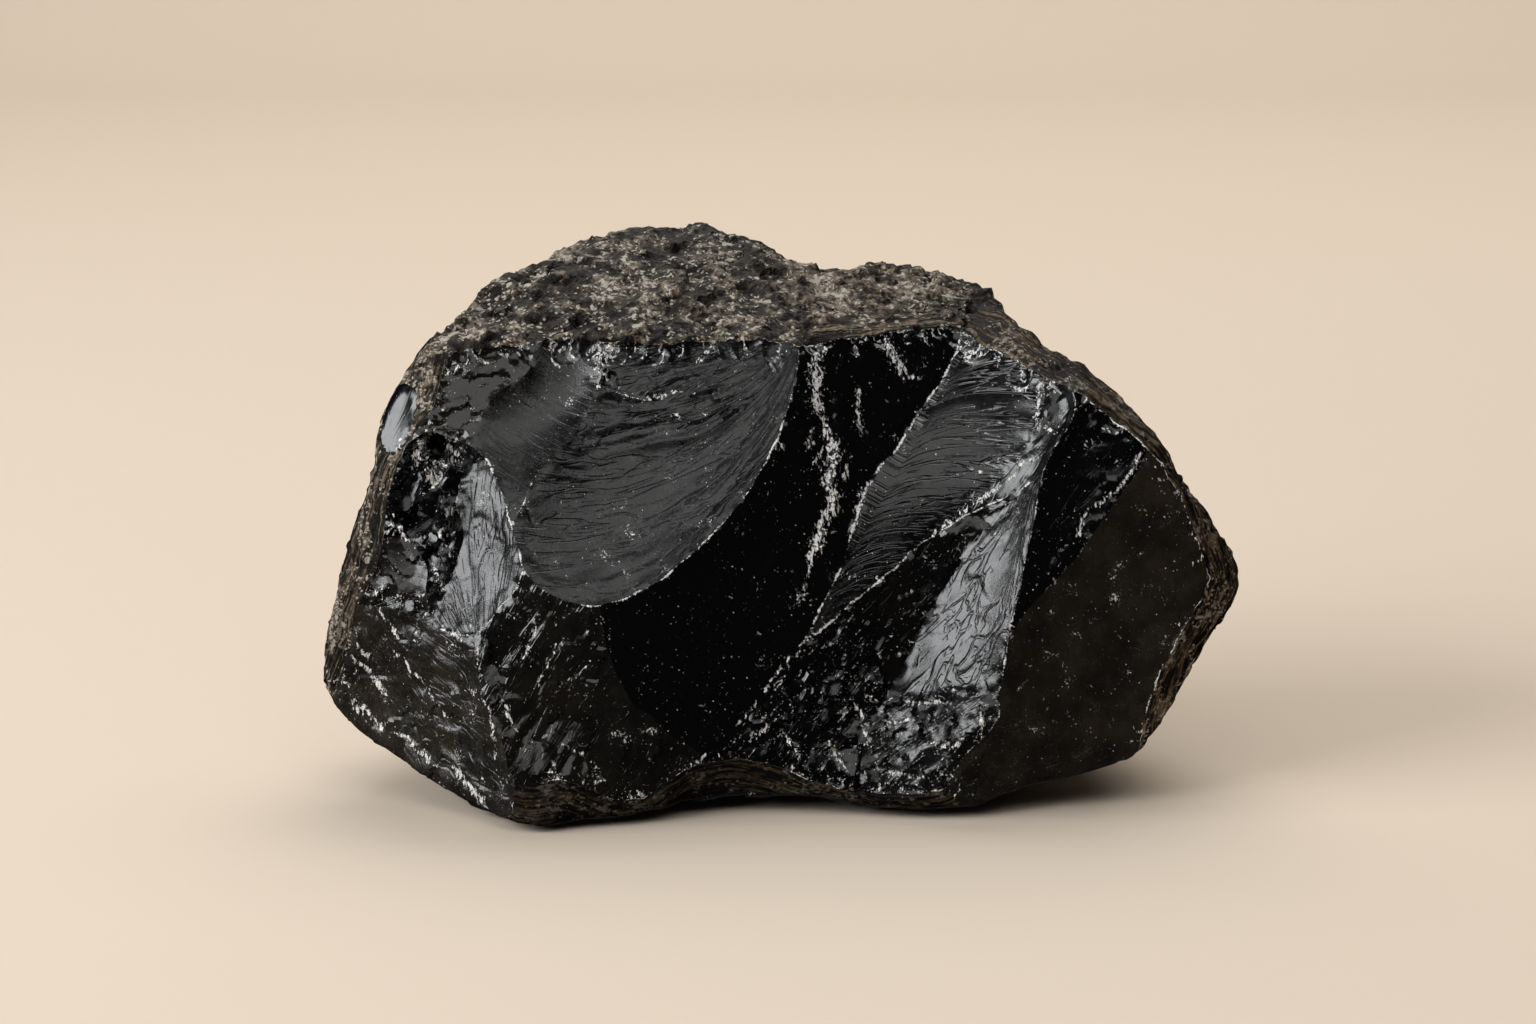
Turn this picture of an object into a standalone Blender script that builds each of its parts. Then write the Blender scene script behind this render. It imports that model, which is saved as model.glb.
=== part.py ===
"""A hand-sized chunk of obsidian: one broken lump of black volcanic glass.

The lump is described the way a surveyor would draw it: from one station, looking slightly
down at it, the ridges are traced as a net of grid readings, and a depth is worked out for
every reading from the lie of the scars between the ridges. A second net describes the far
side. Each ridge becomes one smooth curve shared by the scars on both sides of it, and each
scar is a sheet stretched over its ridges and hollowed like a shell-shaped fracture.
"""

import math

import bmesh
import bpy
import numpy as np
from mathutils import Vector, noise
from mathutils.geometry import delaunay_2d_cdt

# Driving sizes, in mm.
LENGTH = 150.0          # the longest side of the finished chunk
STEP_NEAR = 3.2         # spacing of the surface points on the side with the great scar
STEP_FAR = 3.6          # and on the far side
SOFT_REACH = 7.0        # how far a worn turn in the rind is rounded
SOFT_ROUNDS = 3         # how long it is rounded
RIDGE_FADE = 4.0        # how far from a worn turn a crisp ridge starts to fade
RIND_RELIEF = 0.5       # height of the rind's lumps
GLASS_RELIEF = 0.16     # waviness of the fresh glass
SEED = 7

# ---------------------------------------------------------------- the survey station
TILT = math.radians(12.0)   # the line of sight falls this much below the horizontal
DIST = 595.0                # mm from the station to the middle of the chunk
GRID = 6.1                  # grid units per mm at that distance
GX, GY = 768.0, 512.0       # grid reading of the line of sight
FLOOR = -45.05              # height of the surface it rests on, mm, from the line of sight

# How firmly the depths follow each face's lie, its flatness, and the smooth run of the ridges.
LIE_WEIGHT, CURVE_WEIGHT, RIDGE_WEIGHT = 14.0, 120.0, 1.0
WEAR = 3.2                  # the outline is drawn this much fuller, in grid units, for what the rounding takes off

# Outline of the chunk as read on the grid, clockwise from the upper left: s0, s1, ...
OUTLINE = [
    (433, 338), (448, 326), (462, 315), (474, 298), (487, 284), (505, 275), (530, 268), (546, 258), (562, 250), (578, 240),
    (602, 234), (628, 232), (650, 227), (675, 225), (697, 221), (712, 224), (735, 233), (757, 242), (778, 252), (800, 264),
    (812, 268), (835, 269), (856, 266), (872, 261), (888, 260), (905, 264), (925, 272), (948, 274), (962, 276), (980, 286),
    (994, 296), (1003, 308), (1014, 323), (1028, 333), (1042, 347), (1055, 357), (1075, 361), (1090, 371), (1108, 387), (1122, 397),
    (1137, 413), (1145, 424), (1158, 433), (1168, 447), (1175, 461), (1178, 478), (1184, 487), (1195, 496), (1205, 505), (1215, 522),
    (1226, 543), (1235, 563), (1239, 580), (1236, 594), (1224, 612), (1208, 637), (1196, 658), (1180, 688), (1163, 717), (1152, 736),
    (1147, 744), (1139, 753), (1118, 763), (1098, 769), (1065, 777), (1030, 785), (1003, 797), (985, 806), (962, 810), (925, 812),
    (890, 811), (862, 807), (835, 801), (800, 799), (750, 797), (705, 799), (680, 806), (652, 815), (610, 820), (570, 825),
    (545, 829), (525, 829), (506, 822), (493, 813), (480, 805), (460, 797), (440, 787), (415, 772), (400, 757), (382, 748),
    (362, 735), (345, 717), (332, 703), (325, 690), (323, 665), (326, 645), (330, 620), (337, 592), (341, 570), (348, 550),
    (355, 527), (360, 513), (366, 497), (371, 478), (373, 455), (376, 430), (385, 405), (396, 386), (405, 370), (415, 353),
    (424, 343),
]

# Corners where ridges meet: grid reading, and for the far side the depth too, in mm along the line of sight.
CORNERS = {
    "t0": (447, 350), "t1": (535, 343), "t2": (598, 339), "t4": (800, 343), "t6": (962, 330), "t7": (1048, 379),
    "t8": (1072, 388), "t9": (1150, 449), "t9b": (1173, 478), "t11": (1214, 578),
    "l3": (405, 445), "l5": (384, 535), "l6": (370, 582), "l7": (358, 605),
    "vx": (447, 437), "ve": (470, 444), "vf2": (487, 458), "vd": (597, 387), "vdc": (512, 527), "vf": (522, 568), "vc1": (600, 607),
    "vx1": (408, 540), "vx2": (426, 588), "vfx": (431, 627), "vfg": (474, 636),
    "b0": (513, 783), "b1": (645, 799), "b2": (708, 762), "b3": (860, 791), "b4": (947, 789),
    "vj": (800, 645), "vm": (850, 605), "vk2": (920, 543), "vkl": (1028, 484), "vkn": (1043, 470),
    "vno": (1009, 640), "vln": (1000, 690), "vq": (890, 692), "pb0": (1000, 716),
    "p1": (600, 420, 34), "p2": (820, 380, 40), "p3": (1010, 470, 36), "p4": (680, 640, 42), "p5": (930, 620, 43),
    "p6": (436, 604, 27), "p7": (1112, 640, 29), "p8": (398, 716, 12),
}

# Where the flat base meets the rest: these lie on the surface it stands on.
BASE = {
    "g1": (515, 820), "g2": (565, 819), "g3": (610, 812), "g4": (655, 800), "g5": (700, 791), "g6": (760, 789), "g7": (830, 791),
    "g8": (865, 797), "g9": (925, 803), "g10": (958, 800), "g11": (1005, 788), "g12": (1010, 770), "g13": (960, 752),
    "g14": (800, 745), "g15": (640, 750), "g16": (530, 770), "g17": (490, 793), "g18": (495, 811),
}

# Ridges of the near side. The last item is how crisp the ridge is: 1 a sharp arris, 0 a soft turn in the rind.
NEAR = [
    ("s0", "t0", 0.0),
    ("t0", (470, 347), (500, 345), "t1", 0.8), ("t1", (552, 340), (575, 337), "t2", 0.8),
    ("t2", (625, 341), (655, 343), (690, 341), (720, 339), (750, 338), (775, 339), "t4", 0.9),
    ("t4", (825, 342), (850, 338), (875, 334), (900, 331), (930, 328), (948, 327), "t6", 1.0),
    ("t6", (978, 341), (995, 349), (1010, 357), (1030, 369), "t7", 1.0), ("t7", (1060, 383), "t8", 1.0),
    ("t8", (1085, 397), (1100, 409), (1120, 424), (1135, 437), "t9", 1.0), ("t9", (1162, 463), "t9b", 1.0),
    ("t9b", (1180, 492), (1188, 512), (1196, 535), (1205, 556), "t11", 1.0),
    ("t11", (1203, 600), (1190, 620), (1176, 643), (1165, 665), (1153, 693), (1144, 722), "s61", 1.0),
    ("t11", "s52", 0.0), ("t4", (799, 303), "s19", 0.0), ("t6", "s30", 0.0), ("t9b", "s44", 0.0),
    ("t0", (441, 378), (430, 412), "l3", 0.5), ("l3", (396, 470), (388, 500), "l5", 0.6), ("l5", (378, 560), "l6", 0.6),
    ("l6", "l7", 0.6), ("l7", (350, 640), (340, 675), "s92", 0.6),
    ("s107", (411, 387), (419, 396), (418, 414), (411, 434), (398, 450), "s104", 0.8),
    ("t1", (527, 372), (505, 388), (490, 402), (480, 420), "ve", 0.4), ("l3", (430, 431), "vx", 0.6), ("vx", "ve", 0.6), ("ve", "vf2", 0.8),
    ("vd", (588, 410), (578, 428), (568, 444), (554, 455), (543, 465), (534, 480), (526, 498), (519, 513), "vdc", 0.6), ("vd", (599, 365), "t2", 0.7),
    ("vd", (615, 392), (636, 398), (660, 402), (685, 397), (712, 384), (740, 369), (772, 353), "t4", 0.7),
    ("t4", (798, 365), (794, 388), (787, 412), (777, 440), (764, 466), (749, 491), (730, 515), (706, 541), (680, 564), (655, 583), (628, 598), "vc1", 1.0),
    ("vc1", (580, 605), (560, 598), (540, 588), "vf", 0.9),
    ("vf2", (500, 490), "vdc", 1.0), ("vdc", (518, 548), "vf", 1.0), ("vf", (515, 590), (497, 611), "vfg", 0.9),
    ("vf2", (465, 470), (457, 500), (463, 535), (455, 568), (443, 600), "vfx", 0.5), ("vfx", (452, 634), "vfg", 0.9),
    ("vx", (443, 470), (436, 505), (428, 527), "vx1", 0.7), ("l5", "vx1", 0.5), ("vx1", (418, 550), (427, 570), "vx2", 0.7),
    ("l6", (397, 592), "vx2", 0.5), ("vx2", "vfx", 0.5), ("l7", (380, 607), (405, 613), "vfx", 0.7),
    ("vfg", (475, 660), (481, 690), (492, 718), (502, 745), (509, 768), "b0", 1.0), ("b0", (512, 803), "s82", 0.9),
    ("vc1", (607, 648), (620, 680), (633, 704), (652, 716), (668, 734), (690, 748), "b2", 0.7),
    ("b0", (535, 786), (560, 780), (590, 790), (615, 800), "b1", 0.7), ("b1", (665, 784), (685, 770), "b2", 0.7),
    ("b2", (740, 759), (775, 766), (800, 776), (830, 787), "b3", 0.8), ("b3", (890, 794), (920, 795), "b4", 0.8),
    ("b1", "s77", 0.0), ("b3", "s71", 0.0), ("b4", "s68", 0.3),
    ("vj", (787, 663), (770, 688), (750, 713), (735, 738), "b2", 0.5),
    ("t6", (956, 352), (947, 370), (937, 388), (923, 408), (908, 431), (893, 452), (876, 473), (864, 493), (858, 513), (850, 538), (841, 565), (830, 590), (817, 617), "vj", 1.0),
    ("vj", (825, 627), "vm", 1.0), ("vm", (875, 584), (900, 562), "vk2", 1.0),
    ("vk2", (955, 522), (985, 507), (1012, 494), "vkl", 0.9), ("vkl", "vkn", 0.7),
    ("t7", (1050, 400), (1040, 425), (1028, 447), (1010, 470), (990, 487), (965, 505), (940, 525), "vk2", 0.6),
    ("t8", (1077, 405), (1068, 425), (1055, 447), "vkn", 0.9), ("vkn", (1037, 500), (1030, 540), (1021, 580), "vno", 1.0),
    ("vno", (1005, 665), "vln", 1.0), ("vln", (975, 693), (945, 696), (915, 697), "vq", 0.5),
    ("vkl", (1010, 505), (985, 532), (960, 565), (935, 602), (915, 640), (902, 668), "vq", 0.5),
    ("vm", (870, 640), (884, 670), "vq", 0.3), ("vq", (877, 712), (866, 742), (860, 768), "b3", 0.4),
    ("vln", "pb0", 0.9), ("pb0", (985, 735), (967, 753), (955, 772), "b4", 0.8),
    ("pb0", (1020, 717), (1040, 731), (1070, 742), (1100, 748), (1122, 751), "s61", 0.9),
    ("t9", (1138, 470), (1122, 492), (1105, 515), (1090, 538), (1075, 560), (1058, 580), (1040, 597), (1024, 616), "vno", 0.7),
]

# Ridges of the far side and the edge of the base.
FAR = [
    ("p1", (710, 388, 39), "p2", 0.8), ("p2", (915, 412, 41), "p3", 0.8), ("p1", (618, 530, 41), "p4", 1.0),
    ("p4", (805, 648, 47), "p5", 1.0), ("p5", (985, 540, 42), "p3", 0.9), ("p2", (895, 500, 46), "p5", 1.0),
    ("p1", (540, 345, 27), "s4", 0.3), ("p2", (780, 305, 32), "s16", 0.3), ("p3", (1050, 412, 24), "s36", 0.3),
    ("p3", (1066, 552, 34), "p7", 0.9), ("p7", (1180, 612, 15), "s52", 0.3), ("p7", (1020, 640, 37), "p5", 0.9),
    ("p1", (520, 508, 31), "p6", 0.9), ("p6", (385, 585, 14), "s98", 0.5), ("p6", (560, 632, 35), "p4", 0.9),
    ("p6", (492, 690, 23), "g16", 0.8), ("p4", (655, 700, 39), "g15", 0.9), ("p5", (952, 690, 38), "g13", 0.9),
    ("p7", (1060, 712, 25), "g12", 0.8), ("p7", (1132, 700, 17), "s61", 0.7),
    ("p8", (442, 760, 6), "g17", 0.5), ("p6", (414, 660, 21), "p8", 0.6), ("p8", (355, 716, 3), "s92", 0.3), ("g1", "s81", 0.2), ("g4", "s77", 0.0), ("g8", "s71", 0.0), ("g10", "s68", 0.2), ("g11", "s66", 0.4),
    ("g1", "g2", "g3", "g4", 0.3), ("g4", "g5", "g6", "g7", "g8", 0.3), ("g8", "g9", "g10", 0.3), ("g10", "g11", 0.4),
    ("g11", "g12", 0.5), ("g12", "g13", 0.6), ("g13", "g14", "g15", 0.6), ("g15", "g16", 0.6), ("g16", "g17", 0.6), ("g17", "g18", "g1", 0.4),
]

# Scars and rind of the near side: a reading inside it, its lie (how fast it falls away to the right and upward), how firm
# that lie is, and its hollow in mm.
NEAR_FACES = {
    "rind_top_left": ((640, 290), -0.10, 1.90, 0.6, -2.0), "rind_top_mid": ((880, 300), 0.15, 1.90, 0.6, -1.0),
    "rind_upper_right": ((1100, 395), 1.30, 1.50, 0.3, -0.4), "rind_right": ((1205, 530), 2.10, 0.80, 0.3, -0.3),
    "rind_lower_right": ((1195, 640), 2.00, -1.20, 0.3, -0.3), "rind_left": ((365, 540), -1.80, 0.30, 0.3, -0.6),
    "left_chip": ((398, 415), -0.75, 0.35, 1.0, 0.1),
    "shoulder": ((480, 380), -0.15, 0.25, 1.0, -0.4), "small_scar": ((540, 410), -0.15, 0.42, 2.0, 0.8), "great_scar": ((650, 470), -0.05, 0.42, 4.0, 3.6),
    "upper_scar": ((690, 365), 0.00, 0.24, 2.0, 0.8),
    "bright_left": ((490, 560), -0.64, 0.20, 2.5, 0.5), "hollow": ((410, 490), 0.10, 0.05, 1.0, 2.2), "crumbled": ((445, 540), -0.20, 0.05, 1.5, 0.6),
    "left_patch": ((400, 570), -0.12, 0.22, 1.0, 0.5), "left_step": ((395, 603), -0.30, -0.10, 0.5, 0.2), "foot_face": ((420, 700), -0.65, -0.50, 0.8, 1.6),
    "streaked": ((560, 700), 0.15, 0.05, 1.5, 1.0), "black_face": ((770, 560), 0.36, 0.10, 4.0, 0.5), "black_foot": ((810, 720), 0.15, 0.10, 2.0, 0.4),
    "blue_scar": ((950, 430), -0.12, 0.42, 4.0, 0.8), "bright_strip": ((1045, 440), -0.66, 0.25, 3.0, 0.2), "wedge": ((940, 550), 0.15, 0.05, 2.0, 0.5),
    "bright_right": ((970, 620), -0.64, 0.18, 3.0, 0.4), "black_right": ((1080, 480), 0.25, 0.10, 2.0, 0.5), "brown_right": ((1110, 620), 0.42, -0.05, 1.5, 1.2),
    "crumbled_foot": ((930, 740), -0.35, 0.15, 1.0, 0.4), "under_right": ((1030, 760), 0.20, -1.20, 0.3, 0.8),
    "under_left": ((570, 808), -0.10, -1.00, 0.2, 0.3), "under_mid": ((750, 780), 0.00, -1.00, 0.1, 0.8), "under_foot": ((910, 803), 0.00, -1.20, 0.1, 0.2),
}
FAR_FACES = {
    "back_rind_left": ((620, 320), -1.2), "back_rind_mid": ((930, 340), -1.2), "back_rind_right": ((1130, 480), 0.8), "back_left": ((440, 450), -1.5),
    "back_great_scar": ((740, 520), 5.0), "back_mid": ((930, 450), 1.5), "back_right": ((1000, 570), 1.2), "back_inner_left": ((560, 560), 1.5),
    "back_low_left": ((590, 690), 1.5), "back_low_mid": ((800, 700), 2.0), "back_low_right": ((1010, 710), 1.2), "back_low_end": ((1165, 660), -0.6),
    "under_end": ((1070, 750), 0.2), "under_side": ((455, 690), 0.8), "side_left": ((360, 650), -1.5), "base_front_left": ((440, 775), 0.3), "base": ((760, 770), 0.0),
    "base_rim_left": ((600, 818), 0.2), "base_rim_mid": ((750, 793), 0.3), "base_rim_right": ((915, 808), 0.1), "base_rim_end": ((985, 799), 0.1),
}
# How high some outline points stand above the surface, mm.
HEIGHTS = {"s77": 1.6, "s78": 1.2, "s79": 1.0, "s80": 1.0, "s81": 1.2, "s82": 1.8, "s68": 1.6, "s69": 1.2, "s70": 1.4, "s71": 2.0,
           "s72": 2.6, "s73": 3.0, "s74": 3.2, "s75": 2.8, "s76": 2.2, "s67": 2.4, "s66": 3.2}


def from_grid(x, y, w):
    """A grid reading and a depth, as a place in mm."""
    k = (1.0 + w / DIST) / GRID
    u, v = (x - GX) * k, (GY - y) * k
    return np.array([u, w * math.cos(TILT) + v * math.sin(TILT), v * math.cos(TILT) - w * math.sin(TILT)])


def depth_at_height(y, height):
    """The depth at which the sight line of row y stands that far above the surface."""
    v = (GY - y) / GRID * math.cos(TILT)
    return (FLOOR + height - v) / (v / DIST - math.sin(TILT))


class Net:
    """The ridges as a net of points: near and far share the outline."""

    def __init__(self):
        self.xy, self.given, self.names = [], [], {}
        for i, p in enumerate(OUTLINE):
            self.add(p, f"s{i}")
        rim = np.array(OUTLINE, float)
        along = np.roll(rim, -1, axis=0) - np.roll(rim, 1, axis=0)
        outward = np.column_stack([along[:, 1], -along[:, 0]]) / np.linalg.norm(along, axis=1, keepdims=True)
        for i, way in enumerate(outward):
            if f"s{i}" not in HEIGHTS:
                self.xy[i] = tuple(rim[i] + WEAR * way)
        for name, p in CORNERS.items():
            self.add(p, name)
        for name, p in BASE.items():
            self.add(p, name, depth_at_height(p[1], 0.0))
        for name, height in HEIGHTS.items():
            i = self.names[name]
            self.given[i] = depth_at_height(self.xy[i][1], height)
        self.near, self.far = self.lines(NEAR), self.lines(FAR)
        joints = {line[k] for line, _ in self.near + self.far for k in (0, -1)}
        n = len(OUTLINE)
        cuts = [i for i in range(n) if i in joints]
        self.outline = []
        for a, b in zip(cuts, cuts[1:] + [cuts[0] + n]):
            self.outline.append(([i % n for i in range(a, b + 1)], 0.35))
        self.xy = np.array(self.xy, float)

    def add(self, p, name=None, depth=None):
        self.xy.append(p[:2])
        self.given.append(p[2] if len(p) > 2 else depth)
        if name:
            self.names[name] = len(self.xy) - 1
        return len(self.xy) - 1

    def lines(self, table):
        found = []
        for row in table:
            found.append(([self.names[p] if isinstance(p, str) else self.add(p) for p in row[:-1]], row[-1]))
        return found

    def loops(self, lines, faces):
        """For each face, the loop of net points round the region that holds its reading."""
        used = sorted({i for line, _ in lines for i in line})
        at = {i: k for k, i in enumerate(used)}
        pairs = {tuple(sorted((at[a], at[b]))) for line, _ in lines for a, b in zip(line, line[1:])}
        points = [Vector((self.xy[i][0], -self.xy[i][1])) for i in used]
        out = delaunay_2d_cdt(points, sorted(pairs), [], 1, 1e-4, True)
        verts, tris, origin = out[0], out[2], out[3]
        name = [o[0] if o else -1 for o in origin]
        if -1 in name:
            k = name.index(-1)
            raise ValueError(f"two ridges cross near {verts[k]}")
        tris = [[name[v] for v in t] for t in tris]
        owners = {}
        for t, tri in enumerate(tris):
            for a, b in zip(tri, tri[1:] + tri[:1]):
                owners.setdefault(tuple(sorted((a, b))), []).append((t, a, b))
        region = [-1] * len(tris)
        count = 0
        for seed in range(len(tris)):
            if region[seed] >= 0:
                continue
            region[seed], todo = count, [seed]
            while todo:
                tri = tris[todo.pop()]
                for a, b in zip(tri, tri[1:] + tri[:1]):
                    pair = tuple(sorted((a, b)))
                    if pair in pairs:
                        continue
                    for other, _, _ in owners[pair]:
                        if region[other] < 0:
                            region[other] = count
                            todo.append(other)
            count += 1
        loops = {}
        for face, spec in faces.items():
            x, y = spec[0][0], -spec[0][1]
            inside = None
            for t, tri in enumerate(tris):
                p = [points[v] for v in tri]
                if all((p[(k + 1) % 3] - p[k]).cross(Vector((x, y)) - p[k]) >= 0 for k in range(3)):
                    inside = region[t]
            if inside is None:
                raise ValueError(f"{face}: its reading is outside the net")
            after = {}
            for pair, users in owners.items():
                for t, a, b in users:
                    if region[t] == inside and pair in pairs:
                        if sum(region[q[0]] == inside for q in users) == 1:
                            after.setdefault(a, []).append(b)
            start = next(iter(after))
            loop, here = [start], after[start].pop()
            while here != start:
                loop.append(here)
                here = after[here].pop()
            loops[face] = [used[v] for v in loop]
            if any(after.values()):
                raise ValueError(f"{face}: its region has a hole or touches itself")
        rim = np.array([self.xy[i] for i in range(len(OUTLINE))])
        middles = np.array([sum((points[v] for v in t), Vector((0, 0))) / 3 for t in tris]) * (1, -1)
        held = len({region[t] for t in np.flatnonzero(inside_polygon(middles, rim))})
        if held != len(faces) or len(set(map(tuple, loops.values()))) != len(faces):
            raise ValueError(f"{held} regions inside the outline for {len(faces)} faces")
        return loops


def solve_depths(net, loops):
    """Depth of every net point. Each near face is a gently curved sheet that lies about as its table says, the ridges
    run smoothly, and the given depths hold."""
    n, m = len(net.xy), len(loops)
    u, v = (net.xy[:, 0] - GX) / GRID, (GY - net.xy[:, 1]) / GRID
    rows, rhs = [], []

    def want(terms, value, weight):
        row = np.zeros(n + 6 * m)
        for at, factor in terms:
            row[at] += weight * factor
        rows.append(row)
        rhs.append(weight * value)

    for k, (face, loop) in enumerate(loops.items()):
        _, a, b, firm, _ = NEAR_FACES[face]
        at = n + 6 * k
        mu, mv = u[loop].mean(), v[loop].mean()
        for i in loop:
            x, y = u[i] - mu, v[i] - mv
            want([(i, 1), (at, -1), (at + 1, -x), (at + 2, -y), (at + 3, -x * x), (at + 4, -x * y), (at + 5, -y * y)], 0.0, 1.0)
        want([(at + 1, 1)], a, LIE_WEIGHT * firm)
        want([(at + 2, 1)], b, LIE_WEIGHT * firm)
        for q in (3, 4, 5):
            want([(at + q, 1)], 0.0, CURVE_WEIGHT)
    for line, _ in net.near + net.outline:
        for i, j, k in zip(line, line[1:], line[2:]):
            d1, d2 = math.hypot(u[j] - u[i], v[j] - v[i]), math.hypot(u[k] - u[j], v[k] - v[j])
            d = (d1 + d2) / 2
            want([(i, d / d1), (j, -d / d1 - d / d2), (k, d / d2)], 0.0, RIDGE_WEIGHT)
    for i, depth in enumerate(net.given):
        if depth is not None:
            want([(i, 1)], depth, 12.0)
    return np.linalg.lstsq(np.array(rows), np.array(rhs), rcond=None)[0][:n]


def catmull(points, counts):
    """Points along a centripetal Catmull-Rom curve through points, counts[k] steps on its k-th stretch, without the last end."""
    p = np.vstack([2 * points[0] - points[1], points, 2 * points[-1] - points[-2]])
    out = []
    for k, count in enumerate(counts):
        a, b, c, d = p[k : k + 4]
        t1 = max(np.linalg.norm(b - a), 1e-6) ** 0.5
        t2 = t1 + max(np.linalg.norm(c - b), 1e-6) ** 0.5
        t3 = t2 + max(np.linalg.norm(d - c), 1e-6) ** 0.5
        for t in t1 + (t2 - t1) * np.arange(count) / count:
            a1, a2, a3 = (t1 - t) / t1 * a + t / t1 * b, (t2 - t) / (t2 - t1) * b + (t - t1) / (t2 - t1) * c, (t3 - t) / (t3 - t2) * c + (t - t2) / (t3 - t2) * d
            b1, b2 = (t2 - t) / t2 * a1 + t / t2 * a2, (t3 - t) / (t3 - t1) * a2 + (t - t1) / (t3 - t1) * a3
            out.append((t2 - t) / (t2 - t1) * b1 + (t - t1) / (t2 - t1) * b2)
    return out


def solve_sheet(n, pairs, weights, fixed, values, load):
    """Heights of a stretched sheet: fixed points keep values, and load pushes the free ones. Conjugate gradients."""
    free = ~fixed
    i, j = pairs[:, 0], pairs[:, 1]

    def times(x):
        d = weights * (x[i] - x[j])
        return np.bincount(i, d, n) - np.bincount(j, d, n)

    x = np.where(fixed, values, 0.0)
    r = np.where(free, load - times(x), 0.0)
    diag = np.bincount(i, weights, n) + np.bincount(j, weights, n)
    diag = np.maximum(diag, 1e-9)
    z = r / diag
    p, rz = z.copy(), float(r @ z)
    for _ in range(1200):
        if rz < 1e-14 * n:
            break
        ap = np.where(free, times(p), 0.0)
        step = rz / max(float(p @ ap), 1e-30)
        x += step * p
        r -= step * ap
        z = r / diag
        new = float(r @ z)
        p = z + new / rz * p
        rz = new
    return x


def inside_polygon(points, loop):
    a, b = loop, np.roll(loop, -1, axis=0)
    found = np.zeros(len(points), bool)
    for (x0, y0), (x1, y1) in zip(a, b):
        if y0 == y1:
            continue
        crosses = ((y0 > points[:, 1]) != (y1 > points[:, 1])) & (points[:, 0] < (x1 - x0) * (points[:, 1] - y0) / (y1 - y0) + x0)
        found ^= crosses
    return found


def distance_to_loop(points, loop):
    best = np.full(len(points), 1e9)
    for a, b in zip(loop, np.roll(loop, -1, axis=0)):
        d = b - a
        t = np.clip(((points - a) @ d) / max(d @ d, 1e-12), 0, 1)
        best = np.minimum(best, np.linalg.norm(points - a - t[:, None] * d, axis=1))
    return best


def refine(net, places, step):
    """Every ridge as a fine smooth curve. Returns the points and, for each stretch between two net points, the run of point numbers."""
    points, at, runs, crisp = [], {}, {}, []
    for lines, side in ((net.outline, 0), (net.near, 0), (net.far, 1)):
        for line, sharp in lines:
            for i in line:
                if i not in at:
                    at[i] = len(points)
                    points.append(places[i])
            knots = places[line]
            counts = [max(1, round(np.linalg.norm(b - a) / step[side])) for a, b in zip(knots, knots[1:])]
            curve = catmull(knots, counts)
            k = 0
            for (a, b), count in zip(zip(line, line[1:]), counts):
                run = [at[a]]
                for p in curve[k + 1 : k + count]:
                    run.append(len(points))
                    points.append(p)
                run.append(at[b])
                k += count
                runs[a, b], runs[b, a] = run, run[::-1]
                crisp.append((run, sharp))
    return points, runs, crisp


def local_frame(loop):
    """The plane that fits a loop best by area: its middle, two directions in it and its outward normal."""
    mid = loop.mean(axis=0)
    q = loop - mid
    normal = np.cross(q, np.roll(q, -1, axis=0)).sum(axis=0)
    normal /= np.linalg.norm(normal)
    e1 = np.cross(normal, (0.0, 0.0, 1.0) if abs(normal[2]) < 0.9 else (0.0, 1.0, 0.0))
    e1 /= np.linalg.norm(e1)
    return mid, e1, np.cross(normal, e1), normal


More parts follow.
